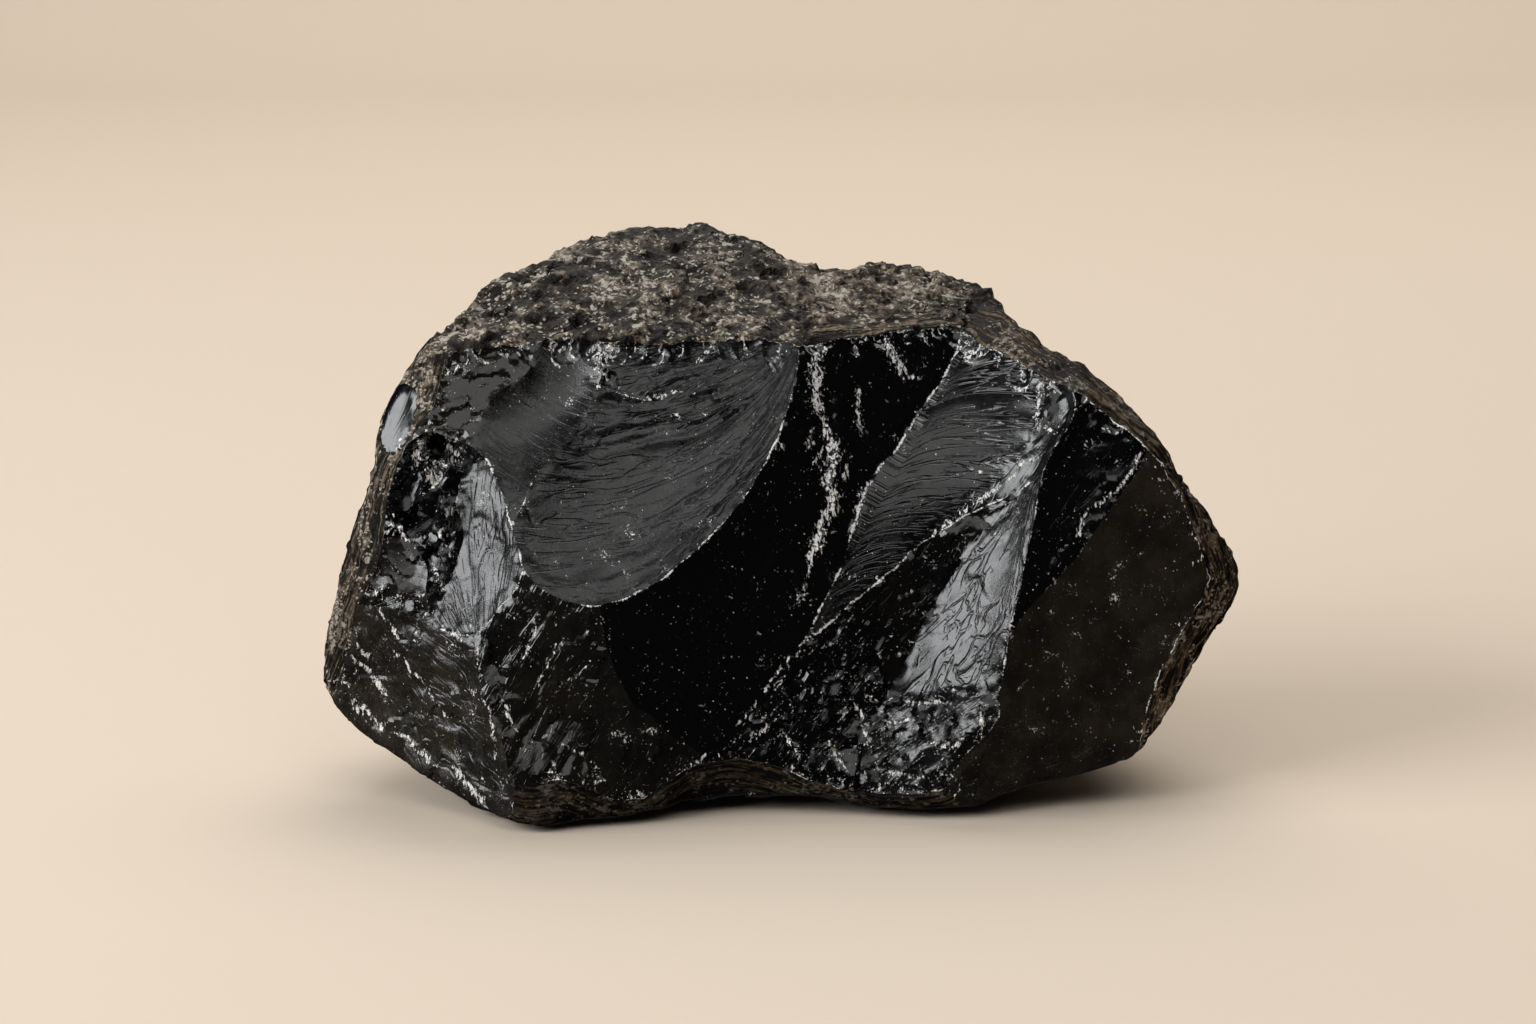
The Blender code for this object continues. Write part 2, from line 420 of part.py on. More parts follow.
def fill(loop, step, hollow, rng):
    """A sheet stretched over a loop, hollowed by that many mm. Returns the new inner points and the triangles."""
    mid, e1, e2, normal = local_frame(loop)
    q = loop - mid
    flat = np.column_stack([q @ e1, q @ e2])
    x0, y0 = flat.min(axis=0)
    x1, y1 = flat.max(axis=0)
    nx, ny = int((x1 - x0) / step) + 2, int((y1 - y0) / (step * 0.866)) + 2
    gx, gy = np.meshgrid(np.arange(nx), np.arange(ny))
    grid = np.column_stack([(x0 + (gx + 0.5 * (gy % 2)) * step).ravel(), (y0 + gy * step * 0.866).ravel()])
    grid += rng.uniform(-0.16, 0.16, grid.shape) * step
    grid = grid[inside_polygon(grid, flat)]
    if len(grid):
        grid = grid[distance_to_loop(grid, flat) > 0.62 * step]
    n = len(loop)
    out = delaunay_2d_cdt([Vector(p) for p in np.vstack([flat, grid])], [], [list(range(n))], 1, 1e-6, True)
    if any(not o for o in out[3]):
        raise ValueError("a loop crosses itself in its own plane")
    name = [o[0] for o in out[3]]
    tris = np.array([[name[v] for v in t] for t, face in zip(out[2], out[5]) if face])
    flat = np.vstack([flat, grid])
    total = len(flat)
    # cotangent weights
    weight = {}
    area = np.zeros(total)
    for k in range(3):
        a, b, c = flat[tris[:, k]], flat[tris[:, (k + 1) % 3]], flat[tris[:, (k + 2) % 3]]
        cross = (b - a)[:, 0] * (c - a)[:, 1] - (b - a)[:, 1] * (c - a)[:, 0]
        cot = ((b - a) * (c - a)).sum(axis=1) / np.maximum(cross, 1e-9)
        np.add.at(area, tris[:, k], np.maximum(cross, 0) / 6)
        for (i, j), w in zip(np.sort(tris[:, [(k + 1) % 3, (k + 2) % 3]], axis=1).tolist(), cot.tolist()):
            weight[i, j] = weight.get((i, j), 0.0) + 0.5 * w
    pairs = np.array(list(weight))
    weights = np.clip(np.array(list(weight.values())), 0.02, 8.0)
    fixed = np.zeros(total, bool)
    fixed[:n] = True
    size = max(np.ptp(flat[:n], axis=0))
    x, y = (flat / size).T
    terms = np.column_stack([np.ones(total), x, y, x * x, x * y, y * y])
    rise = q @ normal
    firm = np.diag([0, 0, 0, 1.0, 1.0, 1.0])
    fit = np.linalg.solve(terms[:n].T @ terms[:n] + 0.02 * n * firm, terms[:n].T @ rise)
    heights = np.zeros(total)
    heights[:n] = rise - terms[:n] @ fit
    sheet = solve_sheet(total, pairs, weights, fixed, heights, np.zeros(total)) + terms @ fit
    if hollow and total > n:
        dish = solve_sheet(total, pairs, weights, fixed, np.zeros(total), area)
        sheet = sheet - hollow * dish / max(dish.max(), 1e-9)
    inner = mid + flat[n:, :1] * e1 + flat[n:, 1:] * e2 + sheet[n:, None] * normal
    return inner, tris


def build_shell(net, depths, step, seed):
    """The whole surface: points in mm, triangles with outward normals, the face each triangle belongs to, ridge runs."""
    rng = np.random.default_rng(seed)
    places = np.array([from_grid(x, y, w) for (x, y), w in zip(net.xy, depths)])
    points, runs, crisp = refine(net, places, step)
    tris, owner = [], []
    for side, (lines, faces) in enumerate(((net.near, NEAR_FACES), (net.far, FAR_FACES))):
        loops = net.loops(lines + net.outline, faces)
        for face, loop in loops.items():
            if side:
                loop = loop[::-1]
            ring = []
            for a, b in zip(loop, loop[1:] + loop[:1]):
                ring += runs[a, b][:-1]
            inner, new = fill(np.array([points[i] for i in ring]), step[side], faces[face][-1], rng)
            index = np.array(ring + list(range(len(points), len(points) + len(inner))))
            points += list(inner)
            tris += index[new].tolist()
            owner += [face] * len(new)
    return np.array(points), np.array(tris), owner, crisp


def neighbours(tris):
    pairs = np.sort(np.vstack([tris[:, [0, 1]], tris[:, [1, 2]], tris[:, [2, 0]]]), axis=1)
    return np.unique(pairs, axis=0)


def vertex_normals(points, tris):
    a, b, c = points[tris[:, 0]], points[tris[:, 1]], points[tris[:, 2]]
    face = np.cross(b - a, c - a)
    out = np.zeros_like(points)
    for k in range(3):
        np.add.at(out, tris[:, k], face)
    return out / np.maximum(np.linalg.norm(out, axis=1, keepdims=True), 1e-12)


def distance_from(points, lines):
    """Distance of every point from a set of polylines, and how soft the nearest one is."""
    best, soft = np.full(len(points), 1e9), np.zeros(len(points))
    for run, sharp in lines:
        for a, b in zip(run, run[1:]):
            p, d = points[a], points[b] - points[a]
            t = np.clip(((points - p) @ d) / max(d @ d, 1e-12), 0, 1)
            far = np.linalg.norm(points - p - t[:, None] * d, axis=1)
            nearer = far < best
            best[nearer], soft[nearer] = far[nearer], 1.0 - sharp
    return best, soft


def smooth(values, pairs, weight, rounds):
    i, j = pairs[:, 0], pairs[:, 1]
    count = np.bincount(i, minlength=len(values)) + np.bincount(j, minlength=len(values))
    for _ in range(rounds):
        total = np.zeros_like(values)
        np.add.at(total, i, values[j])
        np.add.at(total, j, values[i])
        values = values + weight[:, None] * (total / count[:, None] - values)
    return values


def soften(points, tris, crisp, held, reach, rounds):
    """Round the worn turns. What the rounding takes off in bulk is given back, and a crisp ridge fades where it runs into
    a worn turn."""
    near, soft = distance_from(points, [(run, sharp) for run, sharp in crisp if sharp < 0.4])
    weight = 0.6 * np.clip(1 - near / reach, 0, 1) * soft
    for run, sharp in crisp:
        if sharp >= 0.4:
            weight[run] = 0.6 * soft[run] * np.clip(1 - near[run] / RIDGE_FADE, 0, 1)
    weight[held] = 0.0
    pairs = neighbours(tris)
    out = smooth(points, pairs, weight, rounds)
    for _ in range(2):
        out = out + smooth(points - out, pairs, weight, rounds)
    return out


def lumps(p, size, seed):
    """Smooth lumpy relief in -1..1, the same for the same place."""
    q = Vector(p) / size + Vector((seed, 2.3 * seed, -1.7 * seed))
    return noise.noise(q) + 0.5 * noise.noise(q * 2.1)


def relief(points, tris, owner, crisp, held):
    """Lumps on the rind and slow waves on the glass, none on the ridges or on the base."""
    near, _ = distance_from(points, [c for c in crisp if c[1] >= 0.4])
    rind = np.zeros(len(points))
    for tri, face in zip(tris, owner):
        if "rind" in face:
            rind[tri] = 1.0
    normals = vertex_normals(points, tris)
    out = points.copy()
    for k, p in enumerate(points):
        if held[k]:
            continue
        tall = (RIND_RELIEF * lumps(p, 9.0, 1.0) if rind[k] else GLASS_RELIEF * lumps(p, 16.0, 4.0))
        out[k] = p + normals[k] * tall * min(1.0, near[k] / 4.0)
    return out


def build_chunk():
    net = Net()
    loops = net.loops(net.near + net.outline, NEAR_FACES)
    depths = solve_depths(net, loops)
    points, tris, owner, crisp = build_shell(net, depths, (STEP_NEAR, STEP_FAR), SEED)
    held = np.zeros(len(points), bool)
    for tri, face in zip(tris, owner):
        if face == "base":
            held[tri] = True
    points = soften(points, tris, crisp, held, SOFT_REACH, SOFT_ROUNDS)
    points = relief(points, tris, owner, crisp, held)
    points[held, 2] = FLOOR
    low = ~held & (points[:, 2] < FLOOR + 0.15)
    points[low, 2] = FLOOR + 0.15
    low, high = points.min(axis=0), points.max(axis=0)
    middle = (low + high) / 2
    points = (points - (middle[0], middle[1], FLOOR)) * (LENGTH / (high - low)[0]) / 1000.0
    return points, tris, owner


def make_material():
    mat = bpy.data.materials.new("obsidian")
    mat.use_nodes = True
    bsdf = mat.node_tree.nodes["Principled BSDF"]
    bsdf.inputs["Base Color"].default_value = (0.012, 0.011, 0.010, 1.0)
    bsdf.inputs["Roughness"].default_value = 0.22
    bsdf.inputs["Metallic"].default_value = 0.0
    bsdf.inputs["IOR"].default_value = 1.5
    mat.diffuse_color = (0.012, 0.011, 0.010, 1.0)
    return mat


def main():
    for obj in list(bpy.data.objects):
        bpy.data.objects.remove(obj, do_unlink=True)
    points, tris, _ = build_chunk()
    mesh = bpy.data.meshes.new("obsidian_chunk")
    mesh.from_pydata(points.tolist(), [], tris.tolist())
    mesh.update()
    bm = bmesh.new()
    bm.from_mesh(mesh)
    bmesh.ops.recalc_face_normals(bm, faces=bm.faces)
    bm.to_mesh(mesh)
    bm.free()
    mesh.shade_smooth()
    mesh.set_sharp_from_angle(angle=math.radians(28))
    mesh.materials.append(make_material())
    chunk = bpy.data.objects.new("obsidian_chunk", mesh)
    bpy.context.scene.collection.objects.link(chunk)


main()
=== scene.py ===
"""Looks of the obsidian chunk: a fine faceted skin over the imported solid, its glass and rind, stage, light and camera."""

import math

import bpy
import numpy as np
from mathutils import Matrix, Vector, noise
from mathutils.geometry import delaunay_2d_cdt


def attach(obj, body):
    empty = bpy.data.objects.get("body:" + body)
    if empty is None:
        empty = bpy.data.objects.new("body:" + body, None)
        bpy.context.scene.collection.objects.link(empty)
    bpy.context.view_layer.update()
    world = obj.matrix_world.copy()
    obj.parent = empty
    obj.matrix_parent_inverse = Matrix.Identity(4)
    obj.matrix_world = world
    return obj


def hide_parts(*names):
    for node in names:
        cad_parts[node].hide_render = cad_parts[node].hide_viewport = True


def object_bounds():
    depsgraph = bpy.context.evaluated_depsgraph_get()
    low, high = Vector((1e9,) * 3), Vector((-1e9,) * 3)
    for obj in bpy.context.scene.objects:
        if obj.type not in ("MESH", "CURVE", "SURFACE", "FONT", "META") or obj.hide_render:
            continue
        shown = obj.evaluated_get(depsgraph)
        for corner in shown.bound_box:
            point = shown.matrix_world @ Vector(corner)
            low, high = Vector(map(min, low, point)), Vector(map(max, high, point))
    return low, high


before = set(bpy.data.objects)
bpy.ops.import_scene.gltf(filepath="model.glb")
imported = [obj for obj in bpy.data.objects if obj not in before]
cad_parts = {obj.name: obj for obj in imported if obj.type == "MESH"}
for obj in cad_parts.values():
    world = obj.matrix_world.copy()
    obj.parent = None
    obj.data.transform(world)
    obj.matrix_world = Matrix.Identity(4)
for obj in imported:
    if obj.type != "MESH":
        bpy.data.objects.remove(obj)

CAD_BOX = [list(map(float, corner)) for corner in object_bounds()]

STEP = (0.50, 0.72, 1.05)   # mm between surface points: glass of the near side, its rind, the far side
SEED = 7
SCALE = 0.9985126856549011
MIDDLE = (2.70259285, 5.94611876)

SOFT_ROUNDS = 90            # how long the worn turns are rounded

# ---------------------------------------------------------------- the survey station
TILT = math.radians(12.0)   # the line of sight falls this much below the horizontal
DIST = 595.0                # mm from the station to the middle of the chunk
GRID = 6.1                  # grid units per mm at that distance
GX, GY = 768.0, 512.0       # grid reading of the line of sight
FLOOR = -45.05              # height of the surface it rests on, mm, from the line of sight

# How firmly the depths follow each face's lie, its flatness, and the smooth run of the ridges.
LIE_WEIGHT, CURVE_WEIGHT, RIDGE_WEIGHT = 14.0, 120.0, 1.0
WEAR = 3.2                  # the outline is drawn this much fuller, in grid units, for what the rounding takes off

# Outline of the chunk as read on the grid, clockwise from the upper left: s0, s1, ...
OUTLINE = [
    (433, 338), (448, 326), (462, 315), (474, 298), (487, 284), (505, 275), (530, 268), (546, 258), (562, 250), (578, 240),
    (602, 234), (628, 232), (650, 227), (675, 225), (697, 221), (712, 224), (735, 233), (757, 242), (778, 252), (800, 264),
    (812, 268), (835, 269), (856, 266), (872, 261), (888, 260), (905, 264), (925, 272), (948, 274), (962, 276), (980, 286),
    (994, 296), (1003, 308), (1014, 323), (1028, 333), (1042, 347), (1055, 357), (1075, 361), (1090, 371), (1108, 387), (1122, 397),
    (1137, 413), (1145, 424), (1158, 433), (1168, 447), (1175, 461), (1178, 478), (1184, 487), (1195, 496), (1205, 505), (1215, 522),
    (1226, 543), (1235, 563), (1239, 580), (1236, 594), (1224, 612), (1208, 637), (1196, 658), (1180, 688), (1163, 717), (1152, 736),
    (1147, 744), (1139, 753), (1118, 763), (1098, 769), (1065, 777), (1030, 785), (1003, 797), (985, 806), (962, 810), (925, 812),
    (890, 811), (862, 807), (835, 801), (800, 799), (750, 797), (705, 799), (680, 806), (652, 815), (610, 820), (570, 825),
    (545, 829), (525, 829), (506, 822), (493, 813), (480, 805), (460, 797), (440, 787), (415, 772), (400, 757), (382, 748),
    (362, 735), (345, 717), (332, 703), (325, 690), (323, 665), (326, 645), (330, 620), (337, 592), (341, 570), (348, 550),
    (355, 527), (360, 513), (366, 497), (371, 478), (373, 455), (376, 430), (385, 405), (396, 386), (405, 370), (415, 353),
    (424, 343),
]

# Corners where ridges meet: grid reading, and for the far side the depth too, in mm along the line of sight.
CORNERS = {
    "t0": (447, 350), "t1": (535, 343), "t2": (598, 339), "t4": (800, 343), "t6": (962, 330), "t7": (1048, 379),
    "t8": (1072, 388), "t9": (1150, 449), "t9b": (1173, 478), "t11": (1214, 578),
    "l3": (405, 445), "l5": (384, 535), "l6": (370, 582), "l7": (358, 605),
    "vx": (447, 437), "ve": (470, 444), "vf2": (487, 458), "vd": (597, 387), "vdc": (512, 527), "vf": (522, 568), "vc1": (600, 607),
    "vx1": (408, 540), "vx2": (426, 588), "vfx": (431, 627), "vfg": (474, 636),
    "b0": (513, 783), "b1": (645, 799), "b2": (708, 762), "b3": (860, 791), "b4": (947, 789),
    "vj": (800, 645), "vm": (850, 605), "vk2": (920, 543), "vkl": (1028, 484), "vkn": (1043, 470),
    "vno": (1009, 640), "vln": (1000, 690), "vq": (890, 692), "pb0": (1000, 716),
    "p1": (600, 420, 34), "p2": (820, 380, 40), "p3": (1010, 470, 36), "p4": (680, 640, 42), "p5": (930, 620, 43),
    "p6": (436, 604, 27), "p7": (1112, 640, 29), "p8": (398, 716, 12),
}

# Where the flat base meets the rest: these lie on the surface it stands on.
BASE = {
    "g1": (515, 820), "g2": (565, 819), "g3": (610, 812), "g4": (655, 800), "g5": (700, 791), "g6": (760, 789), "g7": (830, 791),
    "g8": (865, 797), "g9": (925, 803), "g10": (958, 800), "g11": (1005, 788), "g12": (1010, 770), "g13": (960, 752),
    "g14": (800, 745), "g15": (640, 750), "g16": (530, 770), "g17": (490, 793), "g18": (495, 811),
}

# Ridges of the near side. The last item is how crisp the ridge is: 1 a sharp arris, 0 a soft turn in the rind.
NEAR = [
    ("s0", "t0", 0.0),
    ("t0", (470, 347), (500, 345), "t1", 0.8), ("t1", (552, 340), (575, 337), "t2", 0.8),
    ("t2", (625, 341), (655, 343), (690, 341), (720, 339), (750, 338), (775, 339), "t4", 0.9),
    ("t4", (825, 342), (850, 338), (875, 334), (900, 331), (930, 328), (948, 327), "t6", 1.0),
    ("t6", (978, 341), (995, 349), (1010, 357), (1030, 369), "t7", 1.0), ("t7", (1060, 383), "t8", 1.0),
    ("t8", (1085, 397), (1100, 409), (1120, 424), (1135, 437), "t9", 1.0), ("t9", (1162, 463), "t9b", 1.0),
    ("t9b", (1180, 492), (1188, 512), (1196, 535), (1205, 556), "t11", 1.0),
    ("t11", (1203, 600), (1190, 620), (1176, 643), (1165, 665), (1153, 693), (1144, 722), "s61", 1.0),
    ("t11", "s52", 0.0), ("t4", (799, 303), "s19", 0.0), ("t6", "s30", 0.0), ("t9b", "s44", 0.0),
    ("t0", (441, 378), (430, 412), "l3", 0.5), ("l3", (396, 470), (388, 500), "l5", 0.6), ("l5", (378, 560), "l6", 0.6),
    ("l6", "l7", 0.6), ("l7", (350, 640), (340, 675), "s92", 0.6),
    ("s107", (411, 387), (419, 396), (418, 414), (411, 434), (398, 450), "s104", 0.8),
    ("t1", (527, 372), (505, 388), (490, 402), (480, 420), "ve", 0.4), ("l3", (430, 431), "vx", 0.6), ("vx", "ve", 0.6), ("ve", "vf2", 0.8),
    ("vd", (588, 410), (578, 428), (568, 444), (554, 455), (543, 465), (534, 480), (526, 498), (519, 513), "vdc", 0.6), ("vd", (599, 365), "t2", 0.7),
    ("vd", (615, 392), (636, 398), (660, 402), (685, 397), (712, 384), (740, 369), (772, 353), "t4", 0.7),
    ("t4", (798, 365), (794, 388), (787, 412), (777, 440), (764, 466), (749, 491), (730, 515), (706, 541), (680, 564), (655, 583), (628, 598), "vc1", 1.0),
    ("vc1", (580, 605), (560, 598), (540, 588), "vf", 0.9),
    ("vf2", (500, 490), "vdc", 1.0), ("vdc", (518, 548), "vf", 1.0), ("vf", (515, 590), (497, 611), "vfg", 0.9),
    ("vf2", (465, 470), (457, 500), (463, 535), (455, 568), (443, 600), "vfx", 0.5), ("vfx", (452, 634), "vfg", 0.9),
    ("vx", (443, 470), (436, 505), (428, 527), "vx1", 0.7), ("l5", "vx1", 0.5), ("vx1", (418, 550), (427, 570), "vx2", 0.7),
    ("l6", (397, 592), "vx2", 0.5), ("vx2", "vfx", 0.5), ("l7", (380, 607), (405, 613), "vfx", 0.7),
    ("vfg", (475, 660), (481, 690), (492, 718), (502, 745), (509, 768), "b0", 1.0), ("b0", (512, 803), "s82", 0.9),
    ("vc1", (607, 648), (620, 680), (633, 704), (652, 716), (668, 734), (690, 748), "b2", 0.7),
    ("b0", (535, 786), (560, 780), (590, 790), (615, 800), "b1", 0.7), ("b1", (665, 784), (685, 770), "b2", 0.7),
    ("b2", (740, 759), (775, 766), (800, 776), (830, 787), "b3", 0.8), ("b3", (890, 794), (920, 795), "b4", 0.8),
    ("b1", "s77", 0.0), ("b3", "s71", 0.0), ("b4", "s68", 0.3),
    ("vj", (787, 663), (770, 688), (750, 713), (735, 738), "b2", 0.5),
    ("t6", (956, 352), (947, 370), (937, 388), (923, 408), (908, 431), (893, 452), (876, 473), (864, 493), (858, 513), (850, 538), (841, 565), (830, 590), (817, 617), "vj", 1.0),
    ("vj", (825, 627), "vm", 1.0), ("vm", (875, 584), (900, 562), "vk2", 1.0),
    ("vk2", (955, 522), (985, 507), (1012, 494), "vkl", 0.9), ("vkl", "vkn", 0.7),
    ("t7", (1050, 400), (1040, 425), (1028, 447), (1010, 470), (990, 487), (965, 505), (940, 525), "vk2", 0.6),
    ("t8", (1077, 405), (1068, 425), (1055, 447), "vkn", 0.9), ("vkn", (1037, 500), (1030, 540), (1021, 580), "vno", 1.0),
    ("vno", (1005, 665), "vln", 1.0), ("vln", (975, 693), (945, 696), (915, 697), "vq", 0.5),
    ("vkl", (1010, 505), (985, 532), (960, 565), (935, 602), (915, 640), (902, 668), "vq", 0.5),
    ("vm", (870, 640), (884, 670), "vq", 0.3), ("vq", (877, 712), (866, 742), (860, 768), "b3", 0.4),
    ("vln", "pb0", 0.9), ("pb0", (985, 735), (967, 753), (955, 772), "b4", 0.8),
    ("pb0", (1020, 717), (1040, 731), (1070, 742), (1100, 748), (1122, 751), "s61", 0.9),
    ("t9", (1138, 470), (1122, 492), (1105, 515), (1090, 538), (1075, 560), (1058, 580), (1040, 597), (1024, 616), "vno", 0.7),
]

# Ridges of the far side and the edge of the base.
FAR = [
    ("p1", (710, 388, 39), "p2", 0.8), ("p2", (915, 412, 41), "p3", 0.8), ("p1", (618, 530, 41), "p4", 1.0),
    ("p4", (805, 648, 47), "p5", 1.0), ("p5", (985, 540, 42), "p3", 0.9), ("p2", (895, 500, 46), "p5", 1.0),
    ("p1", (540, 345, 27), "s4", 0.3), ("p2", (780, 305, 32), "s16", 0.3), ("p3", (1050, 412, 24), "s36", 0.3),
    ("p3", (1066, 552, 34), "p7", 0.9), ("p7", (1180, 612, 15), "s52", 0.3), ("p7", (1020, 640, 37), "p5", 0.9),
    ("p1", (520, 508, 31), "p6", 0.9), ("p6", (385, 585, 14), "s98", 0.5), ("p6", (560, 632, 35), "p4", 0.9),
    ("p6", (492, 690, 23), "g16", 0.8), ("p4", (655, 700, 39), "g15", 0.9), ("p5", (952, 690, 38), "g13", 0.9),
    ("p7", (1060, 712, 25), "g12", 0.8), ("p7", (1132, 700, 17), "s61", 0.7),
    ("p8", (442, 760, 6), "g17", 0.5), ("p6", (414, 660, 21), "p8", 0.6), ("p8", (355, 716, 3), "s92", 0.3), ("g1", "s81", 0.2), ("g4", "s77", 0.0), ("g8", "s71", 0.0), ("g10", "s68", 0.2), ("g11", "s66", 0.4),
    ("g1", "g2", "g3", "g4", 0.3), ("g4", "g5", "g6", "g7", "g8", 0.3), ("g8", "g9", "g10", 0.3), ("g10", "g11", 0.4),
    ("g11", "g12", 0.5), ("g12", "g13", 0.6), ("g13", "g14", "g15", 0.6), ("g15", "g16", 0.6), ("g16", "g17", 0.6), ("g17", "g18", "g1", 0.4),
]

# Scars and rind of the near side: a reading inside it, its lie (how fast it falls away to the right and upward), how firm
# that lie is, and its hollow in mm.
NEAR_FACES = {
    "rind_top_left": ((640, 290), -0.10, 1.90, 0.6, -2.0), "rind_top_mid": ((880, 300), 0.15, 1.90, 0.6, -1.0),
    "rind_upper_right": ((1100, 395), 1.30, 1.50, 0.3, -0.4), "rind_right": ((1205, 530), 2.10, 0.80, 0.3, -0.3),
    "rind_lower_right": ((1195, 640), 2.00, -1.20, 0.3, -0.3), "rind_left": ((365, 540), -1.80, 0.30, 0.3, -0.6),
    "left_chip": ((398, 415), -0.75, 0.35, 1.0, 0.1),
    "shoulder": ((480, 380), -0.15, 0.25, 1.0, -0.4), "small_scar": ((540, 410), -0.15, 0.42, 2.0, 0.8), "great_scar": ((650, 470), -0.05, 0.42, 4.0, 3.6),
    "upper_scar": ((690, 365), 0.00, 0.24, 2.0, 0.8),
    "bright_left": ((490, 560), -0.64, 0.20, 2.5, 0.5), "hollow": ((410, 490), 0.10, 0.05, 1.0, 2.2), "crumbled": ((445, 540), -0.20, 0.05, 1.5, 0.6),
    "left_patch": ((400, 570), -0.12, 0.22, 1.0, 0.5), "left_step": ((395, 603), -0.30, -0.10, 0.5, 0.2), "foot_face": ((420, 700), -0.65, -0.50, 0.8, 1.6),
    "streaked": ((560, 700), 0.15, 0.05, 1.5, 1.0), "black_face": ((770, 560), 0.36, 0.10, 4.0, 0.5), "black_foot": ((810, 720), 0.15, 0.10, 2.0, 0.4),
    "blue_scar": ((950, 430), -0.12, 0.42, 4.0, 0.8), "bright_strip": ((1045, 440), -0.66, 0.25, 3.0, 0.2), "wedge": ((940, 550), 0.15, 0.05, 2.0, 0.5),
    "bright_right": ((970, 620), -0.64, 0.18, 3.0, 0.4), "black_right": ((1080, 480), 0.25, 0.10, 2.0, 0.5), "brown_right": ((1110, 620), 0.42, -0.05, 1.5, 1.2),
    "crumbled_foot": ((930, 740), -0.35, 0.15, 1.0, 0.4), "under_right": ((1030, 760), 0.20, -1.20, 0.3, 0.8),
    "under_left": ((570, 808), -0.10, -1.00, 0.2, 0.3), "under_mid": ((750, 780), 0.00, -1.00, 0.1, 0.8), "under_foot": ((910, 803), 0.00, -1.20, 0.1, 0.2),
}
FAR_FACES = {
    "back_rind_left": ((620, 320), -1.2), "back_rind_mid": ((930, 340), -1.2), "back_rind_right": ((1130, 480), 0.8), "back_left": ((440, 450), -1.5),
    "back_great_scar": ((740, 520), 5.0), "back_mid": ((930, 450), 1.5), "back_right": ((1000, 570), 1.2), "back_inner_left": ((560, 560), 1.5),
    "back_low_left": ((590, 690), 1.5), "back_low_mid": ((800, 700), 2.0), "back_low_right": ((1010, 710), 1.2), "back_low_end": ((1165, 660), -0.6),
    "under_end": ((1070, 750), 0.2), "under_side": ((455, 690), 0.8), "side_left": ((360, 650), -1.5), "base_front_left": ((440, 775), 0.3), "base": ((760, 770), 0.0),
    "base_rim_left": ((600, 818), 0.2), "base_rim_mid": ((750, 793), 0.3), "base_rim_right": ((915, 808), 0.1), "base_rim_end": ((985, 799), 0.1),
}
# How high some outline points stand above the surface, mm.
HEIGHTS = {"s77": 1.6, "s78": 1.2, "s79": 1.0, "s80": 1.0, "s81": 1.2, "s82": 1.8, "s68": 1.6, "s69": 1.2, "s70": 1.4, "s71": 2.0,
           "s72": 2.6, "s73": 3.0, "s74": 3.2, "s75": 2.8, "s76": 2.2, "s67": 2.4, "s66": 3.2}


def from_grid(x, y, w):
    """A grid reading and a depth, as a place in mm."""
    k = (1.0 + w / DIST) / GRID
    u, v = (x - GX) * k, (GY - y) * k
    return np.array([u, w * math.cos(TILT) + v * math.sin(TILT), v * math.cos(TILT) - w * math.sin(TILT)])


def depth_at_height(y, height):
    """The depth at which the sight line of row y stands that far above the surface."""
    v = (GY - y) / GRID * math.cos(TILT)
    return (FLOOR + height - v) / (v / DIST - math.sin(TILT))


